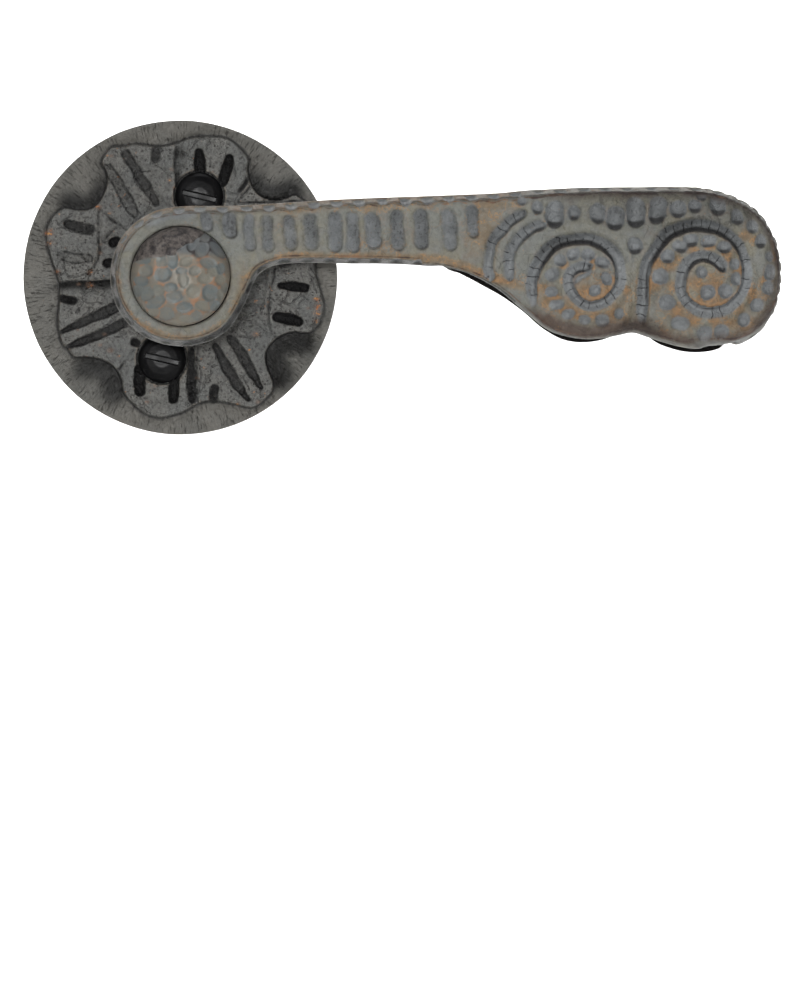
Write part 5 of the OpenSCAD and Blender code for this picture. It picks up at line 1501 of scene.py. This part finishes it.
M_BUSH = plain_metal("bush_bronze", srgb(190, 152, 92), srgb(174, 136, 80), srgb(122, 92, 56), 0.95, (0.28, 0.44), 420)
M_NYLON = plain_metal("nylon_moulded", srgb(224, 220, 206), srgb(214, 210, 196), srgb(186, 180, 162), 0.0, (0.4, 0.55), 240, spec=0.4)
M_SPINDLE = plain_metal("drawn_bar", srgb(104, 106, 110), srgb(92, 95, 99), srgb(64, 62, 60), 0.9, (0.3, 0.5), 240,
                        brushed=(1.0, 0.08, 1.0))


def dress(ob, mat):
    ob.data.materials.clear()
    ob.data.materials.append(mat)


lever = arm()
dress(lever, M_ARM)
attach(lever, "lever_body")
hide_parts("lever_arm")

neck = shank()
dress(neck, M_SHANK)
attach(neck, "lever_body")
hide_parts("shank")

plate = rose()
dress(plate, M_ROSE)
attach(plate, "rose_body")
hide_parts("rose")

dome = cap()
dress(dome, M_CAP)
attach(dome, "lever_body")
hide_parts("domed_cap")

bolts = screws()
dress(bolts, M_BLACK)
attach(bolts, "rose_body")
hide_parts("fixing_screws")

KEEP = {"bearing_bush": M_BUSH, "wear_ring": M_NYLON, "spring_cup": M_ZINC, "cassette_cover": M_ZINC,
        "stop_pins": M_STEEL, "return_spring": M_SPRING, "cassette_screws": M_ZINC, "arm_screw": M_BLACK,
        "lock_washer": M_ZINC, "thrust_washer": M_STEEL, "wave_washer": M_SPRING, "spring_cam": M_STEEL,
        "circlip": M_SPRING, "spindle": M_SPINDLE, "grub_screw": M_BLACK}
for key, mat in KEEP.items():
    ob = NODE_OBS[key]
    if ob.material_slots:
        for s in ob.material_slots:
            s.link = 'OBJECT'
            s.material = mat
    else:
        ob.data.materials.append(mat)

# ------------------------------------------------------------------ studio

def stage():
    n = Nodes("studio_paper")
    c = n.mix(n.ramp(n.noise(3, 2), 0.3, 0.7), (0.90, 0.90, 0.895, 1), (0.92, 0.92, 0.915, 1))
    mat = n.finish(c, n.ramp(n.noise(40, 2), 0.3, 0.7, 0.85, 0.95), n.bump(n.noise(900, 2), 0.05, 0.0002), spec=0.1)
    prof = [(-3.0, -0.85), (1.0, -0.85)]
    for i in range(1, 13):
        a = i / 12 * math.pi / 2
        prof.append((1.0 + 0.5 * math.sin(a), -0.85 + 0.5 * (1 - math.cos(a))))
    prof.append((1.5, 3.0))
    verts = [(x, y, z) for y, z in prof for x in (-4.0, 4.0)]
    faces = [(2 * i, 2 * i + 1, 2 * i + 3, 2 * i + 2) for i in range(len(prof) - 1)]
    me = bpy.data.meshes.new("studio_sweep")
    me.from_pydata(verts, [], faces)
    me.polygons.foreach_set("use_smooth", [True] * len(faces))
    ob = bpy.data.objects.new("studio_sweep", me)
    bpy.context.scene.collection.objects.link(ob)
    dress(ob, mat)


def lamp(name, at, aim, size, power, spread=180):
    li = bpy.data.lights.new(name, 'AREA')
    li.shape = 'RECTANGLE'
    li.size, li.size_y = size
    li.energy = power
    li.spread = math.radians(spread)
    ob = bpy.data.objects.new(name, li)
    ob.location = at
    ob.rotation_euler = (Vector(aim) - Vector(at)).to_track_quat('-Z', 'Y').to_euler()
    bpy.context.scene.collection.objects.link(ob)


stage()
lamp("key", (-0.022, -0.95, 0.024), (0.03, -0.03, 0), (0.08, 0.08), 2.4)
lamp("lens_side", (-0.015, -0.9, 0.013), (0.03, -0.03, 0), (0.025, 0.025), 4.3)
lamp("low_right", (0.5, -1.0, -0.5), (0.03, -0.03, 0), (0.6, 0.5), 1.7)
lamp("top", (0.0, -0.15, 1.1), (0.04, -0.05, 0), (0.9, 0.6), 1.9, 120)
lamp("fill", (-0.7, -1.1, 0.5), (0.03, -0.03, 0), (0.8, 0.8), 2.4)
lamp("wall", (0.0, 0.55, 1.3), (0.0, 1.5, -0.1), (3.0, 0.6), 52, 110)
world = bpy.data.worlds.new("studio")
bpy.context.scene.world = world
world.use_nodes = True
world.node_tree.nodes["Background"].inputs[0].default_value = (1, 1, 1, 1)
world.node_tree.nodes["Background"].inputs[1].default_value = 0.16

cam_data = bpy.data.cameras.new("photo_view")
cam_data.sensor_fit = 'AUTO'
cam_data.sensor_width = 36
cam_data.lens = CAM_LENS
cam_data.clip_start = 0.05
cam = bpy.data.objects.new("photo_view", cam_data)
cam.location = CAM_AT
cam.rotation_euler = Euler((CAM_TILT[0], 0, CAM_TILT[1]))
bpy.context.scene.collection.objects.link(cam)
bpy.context.scene.camera = cam
bpy.context.scene.view_settings.view_transform = 'Standard'
